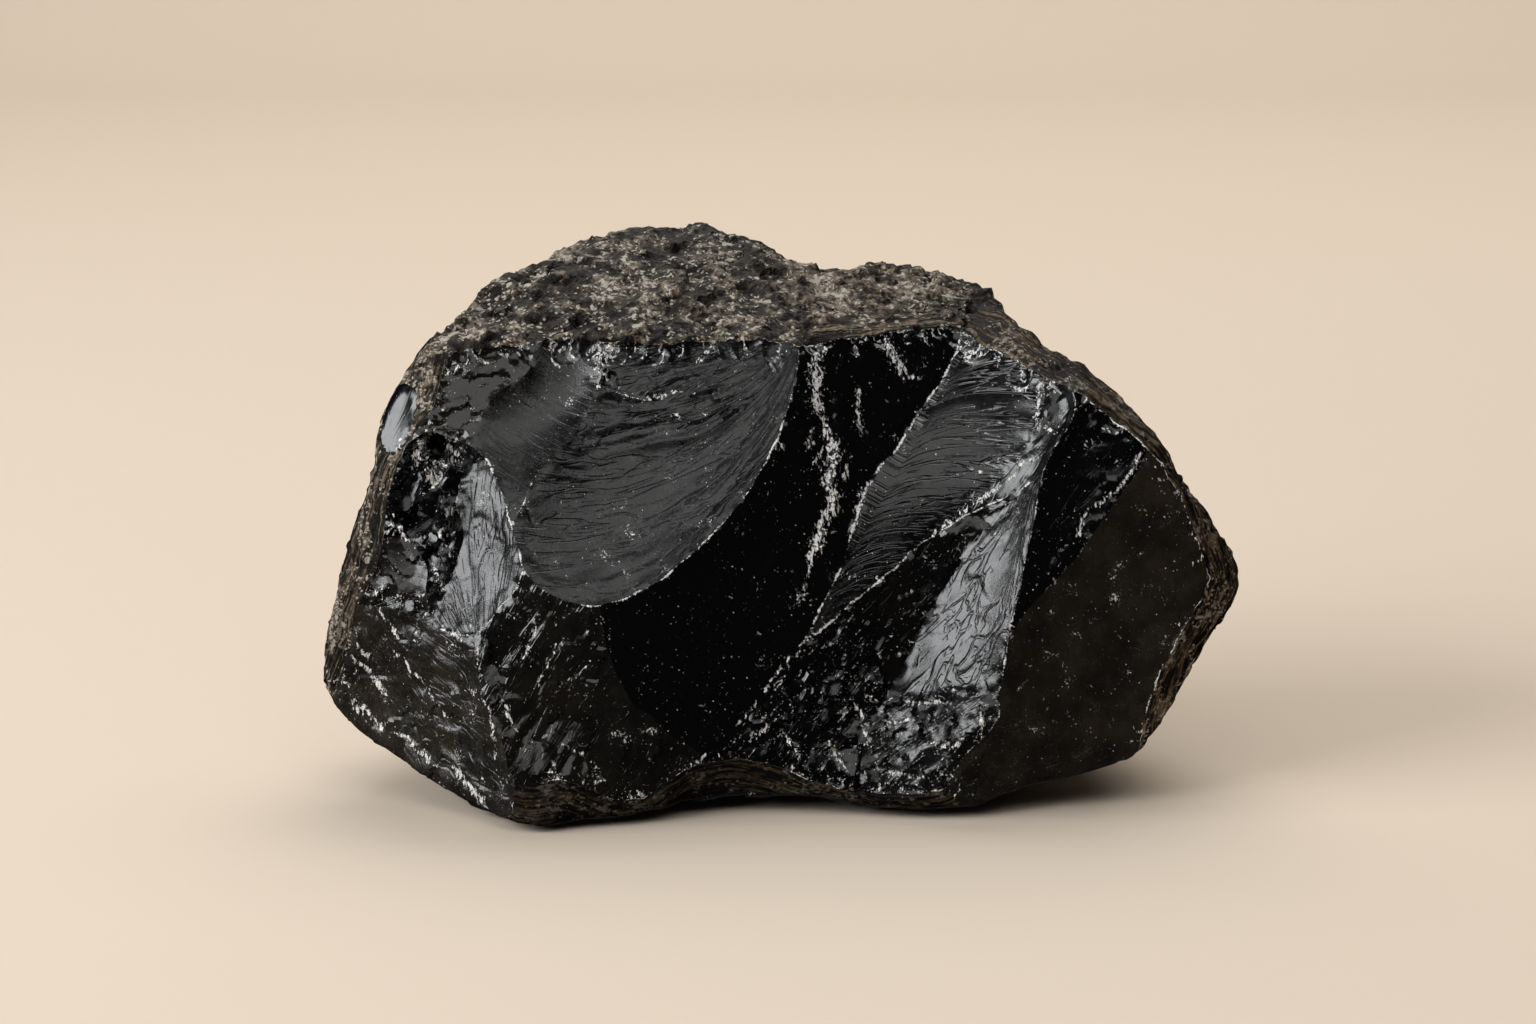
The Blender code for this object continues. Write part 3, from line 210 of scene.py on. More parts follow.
class Net:
    """The ridges as a net of points: near and far share the outline."""

    def __init__(self):
        self.xy, self.given, self.names = [], [], {}
        for i, p in enumerate(OUTLINE):
            self.add(p, f"s{i}")
        rim = np.array(OUTLINE, float)
        along = np.roll(rim, -1, axis=0) - np.roll(rim, 1, axis=0)
        outward = np.column_stack([along[:, 1], -along[:, 0]]) / np.linalg.norm(along, axis=1, keepdims=True)
        for i, way in enumerate(outward):
            if f"s{i}" not in HEIGHTS:
                self.xy[i] = tuple(rim[i] + WEAR * way)
        for name, p in CORNERS.items():
            self.add(p, name)
        for name, p in BASE.items():
            self.add(p, name, depth_at_height(p[1], 0.0))
        for name, height in HEIGHTS.items():
            i = self.names[name]
            self.given[i] = depth_at_height(self.xy[i][1], height)
        self.near, self.far = self.lines(NEAR), self.lines(FAR)
        joints = {line[k] for line, _ in self.near + self.far for k in (0, -1)}
        n = len(OUTLINE)
        cuts = [i for i in range(n) if i in joints]
        self.outline = []
        for a, b in zip(cuts, cuts[1:] + [cuts[0] + n]):
            self.outline.append(([i % n for i in range(a, b + 1)], 0.35))
        self.xy = np.array(self.xy, float)

    def add(self, p, name=None, depth=None):
        self.xy.append(p[:2])
        self.given.append(p[2] if len(p) > 2 else depth)
        if name:
            self.names[name] = len(self.xy) - 1
        return len(self.xy) - 1

    def lines(self, table):
        found = []
        for row in table:
            found.append(([self.names[p] if isinstance(p, str) else self.add(p) for p in row[:-1]], row[-1]))
        return found

    def loops(self, lines, faces):
        """For each face, the loop of net points round the region that holds its reading."""
        used = sorted({i for line, _ in lines for i in line})
        at = {i: k for k, i in enumerate(used)}
        pairs = {tuple(sorted((at[a], at[b]))) for line, _ in lines for a, b in zip(line, line[1:])}
        points = [Vector((self.xy[i][0], -self.xy[i][1])) for i in used]
        out = delaunay_2d_cdt(points, sorted(pairs), [], 1, 1e-4, True)
        verts, tris, origin = out[0], out[2], out[3]
        name = [o[0] if o else -1 for o in origin]
        if -1 in name:
            k = name.index(-1)
            raise ValueError(f"two ridges cross near {verts[k]}")
        tris = [[name[v] for v in t] for t in tris]
        owners = {}
        for t, tri in enumerate(tris):
            for a, b in zip(tri, tri[1:] + tri[:1]):
                owners.setdefault(tuple(sorted((a, b))), []).append((t, a, b))
        region = [-1] * len(tris)
        count = 0
        for seed in range(len(tris)):
            if region[seed] >= 0:
                continue
            region[seed], todo = count, [seed]
            while todo:
                tri = tris[todo.pop()]
                for a, b in zip(tri, tri[1:] + tri[:1]):
                    pair = tuple(sorted((a, b)))
                    if pair in pairs:
                        continue
                    for other, _, _ in owners[pair]:
                        if region[other] < 0:
                            region[other] = count
                            todo.append(other)
            count += 1
        loops = {}
        for face, spec in faces.items():
            x, y = spec[0][0], -spec[0][1]
            inside = None
            for t, tri in enumerate(tris):
                p = [points[v] for v in tri]
                if all((p[(k + 1) % 3] - p[k]).cross(Vector((x, y)) - p[k]) >= 0 for k in range(3)):
                    inside = region[t]
            if inside is None:
                raise ValueError(f"{face}: its reading is outside the net")
            after = {}
            for pair, users in owners.items():
                for t, a, b in users:
                    if region[t] == inside and pair in pairs:
                        if sum(region[q[0]] == inside for q in users) == 1:
                            after.setdefault(a, []).append(b)
            start = next(iter(after))
            loop, here = [start], after[start].pop()
            while here != start:
                loop.append(here)
                here = after[here].pop()
            loops[face] = [used[v] for v in loop]
            if any(after.values()):
                raise ValueError(f"{face}: its region has a hole or touches itself")
        rim = np.array([self.xy[i] for i in range(len(OUTLINE))])
        middles = np.array([sum((points[v] for v in t), Vector((0, 0))) / 3 for t in tris]) * (1, -1)
        held = len({region[t] for t in np.flatnonzero(inside_polygon(middles, rim))})
        if held != len(faces) or len(set(map(tuple, loops.values()))) != len(faces):
            raise ValueError(f"{held} regions inside the outline for {len(faces)} faces")
        return loops


def solve_depths(net, loops):
    """Depth of every net point. Each near face is a gently curved sheet that lies about as its table says, the ridges
    run smoothly, and the given depths hold."""
    n, m = len(net.xy), len(loops)
    u, v = (net.xy[:, 0] - GX) / GRID, (GY - net.xy[:, 1]) / GRID
    rows, rhs = [], []

    def want(terms, value, weight):
        row = np.zeros(n + 6 * m)
        for at, factor in terms:
            row[at] += weight * factor
        rows.append(row)
        rhs.append(weight * value)

    for k, (face, loop) in enumerate(loops.items()):
        _, a, b, firm, _ = NEAR_FACES[face]
        at = n + 6 * k
        mu, mv = u[loop].mean(), v[loop].mean()
        for i in loop:
            x, y = u[i] - mu, v[i] - mv
            want([(i, 1), (at, -1), (at + 1, -x), (at + 2, -y), (at + 3, -x * x), (at + 4, -x * y), (at + 5, -y * y)], 0.0, 1.0)
        want([(at + 1, 1)], a, LIE_WEIGHT * firm)
        want([(at + 2, 1)], b, LIE_WEIGHT * firm)
        for q in (3, 4, 5):
            want([(at + q, 1)], 0.0, CURVE_WEIGHT)
    for line, _ in net.near + net.outline:
        for i, j, k in zip(line, line[1:], line[2:]):
            d1, d2 = math.hypot(u[j] - u[i], v[j] - v[i]), math.hypot(u[k] - u[j], v[k] - v[j])
            d = (d1 + d2) / 2
            want([(i, d / d1), (j, -d / d1 - d / d2), (k, d / d2)], 0.0, RIDGE_WEIGHT)
    for i, depth in enumerate(net.given):
        if depth is not None:
            want([(i, 1)], depth, 12.0)
    return np.linalg.lstsq(np.array(rows), np.array(rhs), rcond=None)[0][:n]


def catmull(points, counts):
    """Points along a centripetal Catmull-Rom curve through points, counts[k] steps on its k-th stretch, without the last end."""
    p = np.vstack([2 * points[0] - points[1], points, 2 * points[-1] - points[-2]])
    out = []
    for k, count in enumerate(counts):
        a, b, c, d = p[k : k + 4]
        t1 = max(np.linalg.norm(b - a), 1e-6) ** 0.5
        t2 = t1 + max(np.linalg.norm(c - b), 1e-6) ** 0.5
        t3 = t2 + max(np.linalg.norm(d - c), 1e-6) ** 0.5
        for t in t1 + (t2 - t1) * np.arange(count) / count:
            a1, a2, a3 = (t1 - t) / t1 * a + t / t1 * b, (t2 - t) / (t2 - t1) * b + (t - t1) / (t2 - t1) * c, (t3 - t) / (t3 - t2) * c + (t - t2) / (t3 - t2) * d
            b1, b2 = (t2 - t) / t2 * a1 + t / t2 * a2, (t3 - t) / (t3 - t1) * a2 + (t - t1) / (t3 - t1) * a3
            out.append((t2 - t) / (t2 - t1) * b1 + (t - t1) / (t2 - t1) * b2)
    return out


def solve_sheet(n, pairs, weights, fixed, values, load):
    """Heights of a stretched sheet: fixed points keep values, and load pushes the free ones. Conjugate gradients."""
    free = ~fixed
    i, j = pairs[:, 0], pairs[:, 1]

    def times(x):
        d = weights * (x[i] - x[j])
        return np.bincount(i, d, n) - np.bincount(j, d, n)

    x = np.where(fixed, values, 0.0)
    r = np.where(free, load - times(x), 0.0)
    diag = np.bincount(i, weights, n) + np.bincount(j, weights, n)
    diag = np.maximum(diag, 1e-9)
    z = r / diag
    p, rz = z.copy(), float(r @ z)
    for _ in range(1200):
        if rz < 1e-14 * n:
            break
        ap = np.where(free, times(p), 0.0)
        step = rz / max(float(p @ ap), 1e-30)
        x += step * p
        r -= step * ap
        z = r / diag
        new = float(r @ z)
        p = z + new / rz * p
        rz = new
    return x


def inside_polygon(points, loop):
    a, b = loop, np.roll(loop, -1, axis=0)
    found = np.zeros(len(points), bool)
    for (x0, y0), (x1, y1) in zip(a, b):
        if y0 == y1:
            continue
        crosses = ((y0 > points[:, 1]) != (y1 > points[:, 1])) & (points[:, 0] < (x1 - x0) * (points[:, 1] - y0) / (y1 - y0) + x0)
        found ^= crosses
    return found


def distance_to_loop(points, loop):
    best = np.full(len(points), 1e9)
    for a, b in zip(loop, np.roll(loop, -1, axis=0)):
        d = b - a
        t = np.clip(((points - a) @ d) / max(d @ d, 1e-12), 0, 1)
        best = np.minimum(best, np.linalg.norm(points - a - t[:, None] * d, axis=1))
    return best


def refine(net, places, step):
    """Every ridge as a fine smooth curve. Returns the points and, for each stretch between two net points, the run of point numbers."""
    points, at, runs, crisp = [], {}, {}, []
    for lines, side in ((net.outline, 0), (net.near, 0), (net.far, 1)):
        for line, sharp in lines:
            for i in line:
                if i not in at:
                    at[i] = len(points)
                    points.append(places[i])
            knots = places[line]
            counts = [max(1, round(np.linalg.norm(b - a) / step[side])) for a, b in zip(knots, knots[1:])]
            curve = catmull(knots, counts)
            k = 0
            for (a, b), count in zip(zip(line, line[1:]), counts):
                run = [at[a]]
                for p in curve[k + 1 : k + count]:
                    run.append(len(points))
                    points.append(p)
                run.append(at[b])
                k += count
                runs[a, b], runs[b, a] = run, run[::-1]
                crisp.append((run, sharp))
    return points, runs, crisp


def local_frame(loop):
    """The plane that fits a loop best by area: its middle, two directions in it and its outward normal."""
    mid = loop.mean(axis=0)
    q = loop - mid
    normal = np.cross(q, np.roll(q, -1, axis=0)).sum(axis=0)
    normal /= np.linalg.norm(normal)
    e1 = np.cross(normal, (0.0, 0.0, 1.0) if abs(normal[2]) < 0.9 else (0.0, 1.0, 0.0))
    e1 /= np.linalg.norm(e1)
    return mid, e1, np.cross(normal, e1), normal


def fill(loop, step, hollow, rng):
    """A sheet stretched over a loop, hollowed by that many mm. Returns the new inner points, the triangles and the flat places."""
    mid, e1, e2, normal = local_frame(loop)
    q = loop - mid
    flat = np.column_stack([q @ e1, q @ e2])
    x0, y0 = flat.min(axis=0)
    x1, y1 = flat.max(axis=0)
    nx, ny = int((x1 - x0) / step) + 2, int((y1 - y0) / (step * 0.866)) + 2
    gx, gy = np.meshgrid(np.arange(nx), np.arange(ny))
    grid = np.column_stack([(x0 + (gx + 0.5 * (gy % 2)) * step).ravel(), (y0 + gy * step * 0.866).ravel()])
    grid += rng.uniform(-0.16, 0.16, grid.shape) * step
    grid = grid[inside_polygon(grid, flat)]
    if len(grid):
        grid = grid[distance_to_loop(grid, flat) > 0.62 * step]
    n = len(loop)
    out = delaunay_2d_cdt([Vector(p) for p in np.vstack([flat, grid])], [], [list(range(n))], 1, 1e-6, True)
    if any(not o for o in out[3]):
        raise ValueError("a loop crosses itself in its own plane")
    name = [o[0] for o in out[3]]
    tris = np.array([[name[v] for v in t] for t, face in zip(out[2], out[5]) if face])
    flat = np.vstack([flat, grid])
    total = len(flat)
    # cotangent weights
    weight = {}
    area = np.zeros(total)
    for k in range(3):
        a, b, c = flat[tris[:, k]], flat[tris[:, (k + 1) % 3]], flat[tris[:, (k + 2) % 3]]
        cross = (b - a)[:, 0] * (c - a)[:, 1] - (b - a)[:, 1] * (c - a)[:, 0]
        cot = ((b - a) * (c - a)).sum(axis=1) / np.maximum(cross, 1e-9)
        np.add.at(area, tris[:, k], np.maximum(cross, 0) / 6)
        for (i, j), w in zip(np.sort(tris[:, [(k + 1) % 3, (k + 2) % 3]], axis=1).tolist(), cot.tolist()):
            weight[i, j] = weight.get((i, j), 0.0) + 0.5 * w
    pairs = np.array(list(weight))
    weights = np.clip(np.array(list(weight.values())), 0.02, 8.0)
    fixed = np.zeros(total, bool)
    fixed[:n] = True
    size = max(np.ptp(flat[:n], axis=0))
    x, y = (flat / size).T
    terms = np.column_stack([np.ones(total), x, y, x * x, x * y, y * y])
    rise = q @ normal
    firm = np.diag([0, 0, 0, 1.0, 1.0, 1.0])
    fit = np.linalg.solve(terms[:n].T @ terms[:n] + 0.02 * n * firm, terms[:n].T @ rise)
    heights = np.zeros(total)
    heights[:n] = rise - terms[:n] @ fit
    sheet = solve_sheet(total, pairs, weights, fixed, heights, np.zeros(total)) + terms @ fit
    if hollow and total > n:
        dish = solve_sheet(total, pairs, weights, fixed, np.zeros(total), area)
        sheet = sheet - hollow * dish / max(dish.max(), 1e-9)
    inner = mid + flat[n:, :1] * e1 + flat[n:, 1:] * e2 + sheet[n:, None] * normal
    return inner, tris, flat


# ---------------------------------------------------------------- noise and smoothing
def perlin(p):
    """Gradient noise, about -1 to 1, for an array of places."""
    cell = np.floor(p).astype(np.int64)
    f = p - cell
    u = f * f * f * (f * (f * 6 - 15) + 10)
    total = np.zeros(len(p))
    for corner in ((x, y, z) for x in (0, 1) for y in (0, 1) for z in (0, 1)):
        at = cell + corner
        h = (at[:, 0] * 374761393 + at[:, 1] * 668265263 + at[:, 2] * 2147483647) & 0xFFFFFFFF
        h = ((h ^ (h >> 13)) * 1274126177) & 0xFFFFFFFF
        h = (h ^ (h >> 16)) & 0xFFFFFFFF
        a = (h % 1024) / 1024 * 2 * math.pi
        c = ((h >> 10) % 1024) / 512.0 - 1.0
        s = np.sqrt(1 - c * c)
        d = f - corner
        part = np.cos(a) * s * d[:, 0] + np.sin(a) * s * d[:, 1] + c * d[:, 2]
        for k in range(3):
            part = part * (u[:, k] if corner[k] else 1 - u[:, k])
        total += part
    return total * 1.6


def fbm(p, size, seed, octaves=1):
    q = np.asarray(p) / size + (seed * 5.1, seed * 7.7, seed * 3.3)
    total, tall = np.zeros(len(q)), 1.0
    for _ in range(octaves):
        total += tall * perlin(q)
        q = q * 2.03 + 11.7
        tall *= 0.5
    return total


def shatter(p, size, tilt, seed):
    """Relief of small flat facets leaning every way, with the distance from the nearest border between two of them."""
    q = np.asarray(p) / size + (seed * 3.7, seed * 1.9, seed * 5.3)
    q = q + 0.22 * np.stack([perlin(q * 1.7 + 9.1 * k) for k in range(3)], axis=1)
    cell = np.floor(q).astype(np.int64)
    first, second = np.full(len(q), 9.0), np.full(len(q), 9.0)
    tall = np.zeros(len(q))
    for step in ((x, y, z) for x in (-1, 0, 1) for y in (-1, 0, 1) for z in (-1, 0, 1)):
        at = cell + step
        h = (at[:, 0] * 374761393 + at[:, 1] * 668265263 + at[:, 2] * 2147483647) & 0xFFFFFFFF
        part = []
        for _ in range(6):
            h = ((h ^ (h >> 13)) * 1274126177 + 12345) & 0xFFFFFFFF
            part.append(((h >> 8) % 4096) / 4096.0)
        d = q - at - np.column_stack(part[:3])
        far = np.sqrt((d * d).sum(axis=1))
        lean = d[:, 0] * (part[3] - 0.5) + d[:, 1] * (part[4] - 0.5) + d[:, 2] * (part[5] - 0.5)
        nearer = far < first
        second = np.where(nearer, first, np.minimum(second, far))
        tall = np.where(nearer, lean, tall)
        first = np.where(nearer, far, first)
    return 2.0 * tilt * size * tall, (second - first) * size


def plane_noise(x, y, size, seed, octaves=1):
    return fbm(np.column_stack([x, y, np.zeros(len(x))]), size, seed, octaves)


def ramp(x, low, high):
    t = np.clip((x - low) / (high - low), 0, 1)
    return t * t * (3 - 2 * t)


def vertex_normals(points, tris):
    a, b, c = points[tris[:, 0]], points[tris[:, 1]], points[tris[:, 2]]
    face = np.cross(b - a, c - a)
    out = np.zeros_like(points)
    for k in range(3):
        np.add.at(out, tris[:, k], face)
    return out / np.maximum(np.linalg.norm(out, axis=1, keepdims=True), 1e-12)


def smooth(points, pairs, weight, rounds):
    i, j = pairs[:, 0], pairs[:, 1]
    n = len(points)
    count = np.bincount(i, minlength=n) + np.bincount(j, minlength=n)
    for _ in range(rounds):
        total = np.stack([np.bincount(i, points[j, k], n) + np.bincount(j, points[i, k], n) for k in range(3)], axis=1)
        points = points + weight[:, None] * (total / count[:, None] - points)
    return points


def to_grid(points):
    """Places in mm back to grid readings."""
    y, z = points[:, 1], points[:, 2]
    w = y * math.cos(TILT) - z * math.sin(TILT)
    v = y * math.sin(TILT) + z * math.cos(TILT)
    k = GRID / (1.0 + w / DIST)
    return GX + points[:, 0] * k, GY - v * k


# ---------------------------------------------------------------- how the marks of each scar run, on the grid
# fan: marks leave an apex, the first at the given bearing, and bend round with that radius; arc: marks circle a centre;
# line: marks run at a bearing; arch: marks leave an edge through a point at a bearing and bend away from it.
GRAIN = {
    "great_scar": ("fan", (804, 336), -90, -1, 268), "upper_scar": ("fan", (806, 338), 175, 1, 900), "small_scar": ("arc", (640, 250)),
    "shoulder": ("line", 35), "bright_left": ("fan", (482, 690), 90, 1, 1e9), "crumbled": ("line", 75), "hollow": ("line", 60),
    "left_patch": ("arc", (440, 500)), "left_step": ("line", 10), "foot_face": ("fan", (330, 520), -62, 1, 700),
    "streaked": ("line", 62), "black_face": ("line", 76), "black_foot": ("line", 50), "blue_scar": ("arch", (801, 647), 61),
    "bright_strip": ("line", 58), "wedge": ("line", 50), "bright_right": ("fan", (1052, 425), -105, -1, 1200),
    "black_right": ("line", 52), "brown_right": ("arc", (1180, 420)), "crumbled_foot": ("line", 35), "under_right": ("line", 20),
    "under_left": ("line", 0), "under_mid": ("line", 0), "under_foot": ("line", 0), "left_chip": ("line", 65),
    "rind_top_left": ("line", 20), "rind_top_mid": ("line", 4), "rind_upper_right": ("line", -40), "rind_right": ("line", -68),
    "rind_lower_right": ("line", 62), "rind_left": ("line", 76),
}


# Scars whose marks are short: how much.
STRETCH = {"bright_left": 1.1, "bright_right": 1.25, "wedge": 1.8, "bright_strip": 1.2, "foot_face": 1.3, "streaked": 1.3, "brown_right": 0.6}


def grain_at(face, x, y):
    """Where a place lies across and along the marks of its scar, both in mm."""
    kind, *rest = GRAIN[face]
    if kind == "line":
        a = math.radians(rest[0])
        dx, dy = x - GX, GY - y
        along, across = dx * math.cos(a) + dy * math.sin(a), -dx * math.sin(a) + dy * math.cos(a)
    elif kind == "arc":
        dx, dy = x - rest[0][0], rest[0][1] - y
        across = np.hypot(dx, dy)
        along = np.arctan2(dy, dx) * across.mean()
    elif kind == "fan":
        (ax, ay), first, turn, bend = rest
        dx, dy = x - ax, ay - y
        along = np.hypot(dx, dy)
        swing = turn * (np.arctan2(dy, dx) - math.radians(first))
        swing = (swing + math.pi) % (2 * math.pi) - math.pi
        across = (swing - np.arcsin(np.clip(along / (2 * bend), 0, 1))) * 170.0
    else:
        (ax, ay), bearing = rest
        a = math.radians(bearing)
        dx, dy = x - ax, ay - y
        t, d = dx * math.cos(a) + dy * math.sin(a), np.maximum(dx * math.sin(a) - dy * math.cos(a), 0)
        across = t - (8.5 + 10.0 * np.clip((170 - t) / 170, 0, 1)) * np.sqrt(d + 4.0)
        along = d
    return across / GRID, along / GRID


# Waves of the scars: (length across in mm, height in mm, how ragged).
WAVES = {
    "great_scar": [(2.1, 0.19, 0.9), (4.4, 0.38, 1.1)], "upper_scar": [(2.4, 0.22, 1.4), (5.0, 0.40, 1.6)],
    "small_scar": [(4.2, 0.10, 1.0), (2.0, 0.05, 1.4)], "bright_left": [(3.2, 0.09, 1.4), (7.0, 0.16, 1.4)],
    "blue_scar": [(2.6, 0.035, 0.8), (5.4, 0.10, 0.8)], "bright_strip": [(4.0, 0.05, 1.4)], "bright_right": [(3.4, 0.050, 1.4), (8.0, 0.12, 1.4)],
    "brown_right": [(8.0, 0.22, 1.8), (3.4, 0.05, 1.2)], "foot_face": [(2.6, 0.28, 1.4), (7.0, 0.45, 1.6)],
    "black_face": [(8.0, 0.05, 1.4)], "black_right": [(6.0, 0.03, 1.2)], "streaked": [(3.0, 0.44, 1.3), (8.0, 0.45, 1.8)],
    "black_foot": [(4.5, 0.20, 2.5)], "crumbled_foot": [(6.0, 0.35, 2.2)], "wedge": [(6.0, 0.14, 1.5)],
    "crumbled": [(6.5, 0.5, 2.0)], "hollow": [(7.0, 0.5, 2.0)], "shoulder": [(5.0, 0.45, 2.0), (2.2, 0.14, 1.6)],
    "under_right": [(4.0, 0.20, 1.5)], "left_patch": [(3.0, 0.10, 1.2)], "left_step": [(2.2, 0.2, 1.8)],
    "left_chip": [(3.0, 0.015, 1.0)],
}

# Faces that broke into small facets: (size of a facet in mm, how much they lean, how bruised their borders are).
SHATTER = {
    "crumbled": (7.5, 0.50, 0.5), "hollow": (8.0, 0.55, 0.45), "left_patch": (4.5, 0.16, 0.6), "left_step": (3.2, 0.40, 0.8), "shoulder": (4.5, 0.16, 0.4),
    "crumbled_foot": (3.6, 0.30, 0.6), "streaked": (5.5, 0.10, 0.30), "black_foot": (4.5, 0.26, 0.6), "wedge": (5.0, 0.14, 0.4), "upper_scar": (4.5, 0.08, 0.2),
    "foot_face": (5.0, 0.10, 0.15), "black_right": (5.0, 0.05, 0.25), "black_face": (6.0, 0.03, 0.15), "under_right": (6.0, 0.06, 0.2), "brown_right": (7.0, 0.025, 0.0),
    "bright_left": (5.0, 0.03, 0.0), "bright_right": (6.0, 0.03, 0.0),
}

# Broad dips (-) and humps (+) of the near side's glass: reading, half sizes, turn in degrees, height in mm.
GLASS_MARKS = [
    (955, 735, 46, 30, 15, 1.5), (420, 468, 15, 34, -12, -1.8), (402, 515, 12, 20, 0, -1.2), (620, 396, 26, 8, 0, -0.8), (648, 392, 14, 6, 0, 0.7),
    (838, 470, 10, 60, -6, 0.5), (1046, 396, 5, 9, 0, -0.8), (1060, 425, 42, 58, 0, -0.6),
]


def waves(face, across, along, points, off):
    """Height of the fracture ripples, in mm."""
    tall = np.zeros(len(points))
    for k, (length, height, ragged) in enumerate(WAVES.get(face, [(2.6, 0.08, 1.5), (6.0, 0.16, 1.2)])):
        shift = ragged * length * 0.55 * fbm(points, 3.2 * length, 3 + k, 2)
        phase = (across + shift) / length
        phase = phase + 0.35 * fbm(np.column_stack([across / length, along / (9 * length), np.full(len(points), 0.3)]), 1.0, 9 + k)
        t = phase - np.floor(phase)
        ridge = np.where(t < 0.68, t / 0.68, (1 - t) / 0.32)
        ridge = ridge * ridge * (3 - 2 * ridge) - 0.5
        vary = np.clip(0.55 + 1.1 * fbm(points, 4.0 * length, 21 + k, 2), 0.0, 1.9)
        tall += height * vary * ridge
    if face == "great_scar":    # strong near the ridge it was struck from and along its rim, calm in the middle
        tall *= 0.28 + 0.80 * np.maximum(ramp(along, 36.0, 14.0), ramp(off, 12.0, 2.0))
    elif face == "blue_scar":
        tall *= 0.35 + 0.65 * ramp(along, 8.0, 16.0)
    return tall


# ---------------------------------------------------------------- finish of each face
# rind: 0 glass, 1 weathered rind. tint: brown cast, in the rind its own brown, on the glass faces a painted reflection
# of the warm floor they look down at. crush: share of bruised white glass. rough: extra roughness. band: layered marks.
FINISH = {
    #                  rind  tint crush rough band
    "rind_top_left":    (1.0, 0.25, 0.0, 0.0, 0.15), "rind_top_mid": (1.0, 0.45, 0.0, 0.0, 1.0), "rind_upper_right": (1.0, 0.95, 0.0, 0.5, 1.0),
    "rind_right":       (1.0, 1.0, 0.0, 0.55, 1.0), "rind_lower_right": (1.0, 1.0, 0.0, 0.35, 1.0), "rind_left": (1.0, 0.35, 0.0, 0.15, 0.8),
    "left_chip":        (0.0, 0.0, 0.0, 0.1, 0.08), "shoulder": (0.0, 0.5, 0.55, 0.12, 0.0), "small_scar": (0.0, 0.1, 0.12, 0.45, 0.15),
    "great_scar":       (0.0, 0.0, 0.12, 0.45, 0.6), "upper_scar": (0.0, 0.0, 0.2, 0.4, 0.6), "bright_left": (0.0, 0.0, 0.02, 0.35, 0.5),
    "hollow":           (0.0, 0.0, 0.5, 0.1, 0.15), "crumbled": (0.0, 0.0, 0.5, 0.15, 0.2), "left_patch": (0.0, 0.3, 0.3, 0.4, 0.1),
    "left_step":        (0.0, 0.3, 0.6, 0.3, 0.2), "foot_face": (0.0, 1.0, 0.35, 0.45, 0.8), "streaked": (0.0, 0.3, 0.3, 0.1, 0.30),
    "black_face":       (0.0, 0.0, 0.1, 0.0, 0.05), "black_foot": (0.0, 0.0, 0.65, 0.0, 0.12), "blue_scar": (0.0, 0.0, 0.05, 0.18, 0.95),
    "bright_strip":     (0.0, 0.0, 0.0, 0.2, 0.25), "wedge": (0.0, 0.1, 0.3, 0.0, 0.15), "bright_right": (0.0, 0.0, 0.05, 0.32, 0.75),
    "black_right":      (0.0, 0.0, 0.3, 0.0, 0.05), "brown_right": (0.0, 0.9, 0.05, 0.15, 0.15), "crumbled_foot": (0.0, 0.1, 0.7, 0.25, 0.3),
    "under_right":      (0.1, 0.9, 0.15, 0.3, 0.5), "under_left": (0.5, 0.9, 0.1, 0.92, 0.9), "under_mid": (0.6, 1.0, 0.0, 0.9, 1.0), "under_foot": (0.6, 1.0, 0.0, 0.88, 0.8),
    "back_rind_left":   (1.0, 0.3, 0.0, 0.0, 0.2), "back_rind_mid": (1.0, 0.5, 0.0, 0.0, 0.5), "back_rind_right": (1.0, 0.7, 0.0, 0.0, 0.8),
    "base":             (0.5, 0.8, 0.1, 0.3, 0.2),
}
PLAIN_FINISH = (0.0, 0.15, 0.2, 0.2, 0.6)

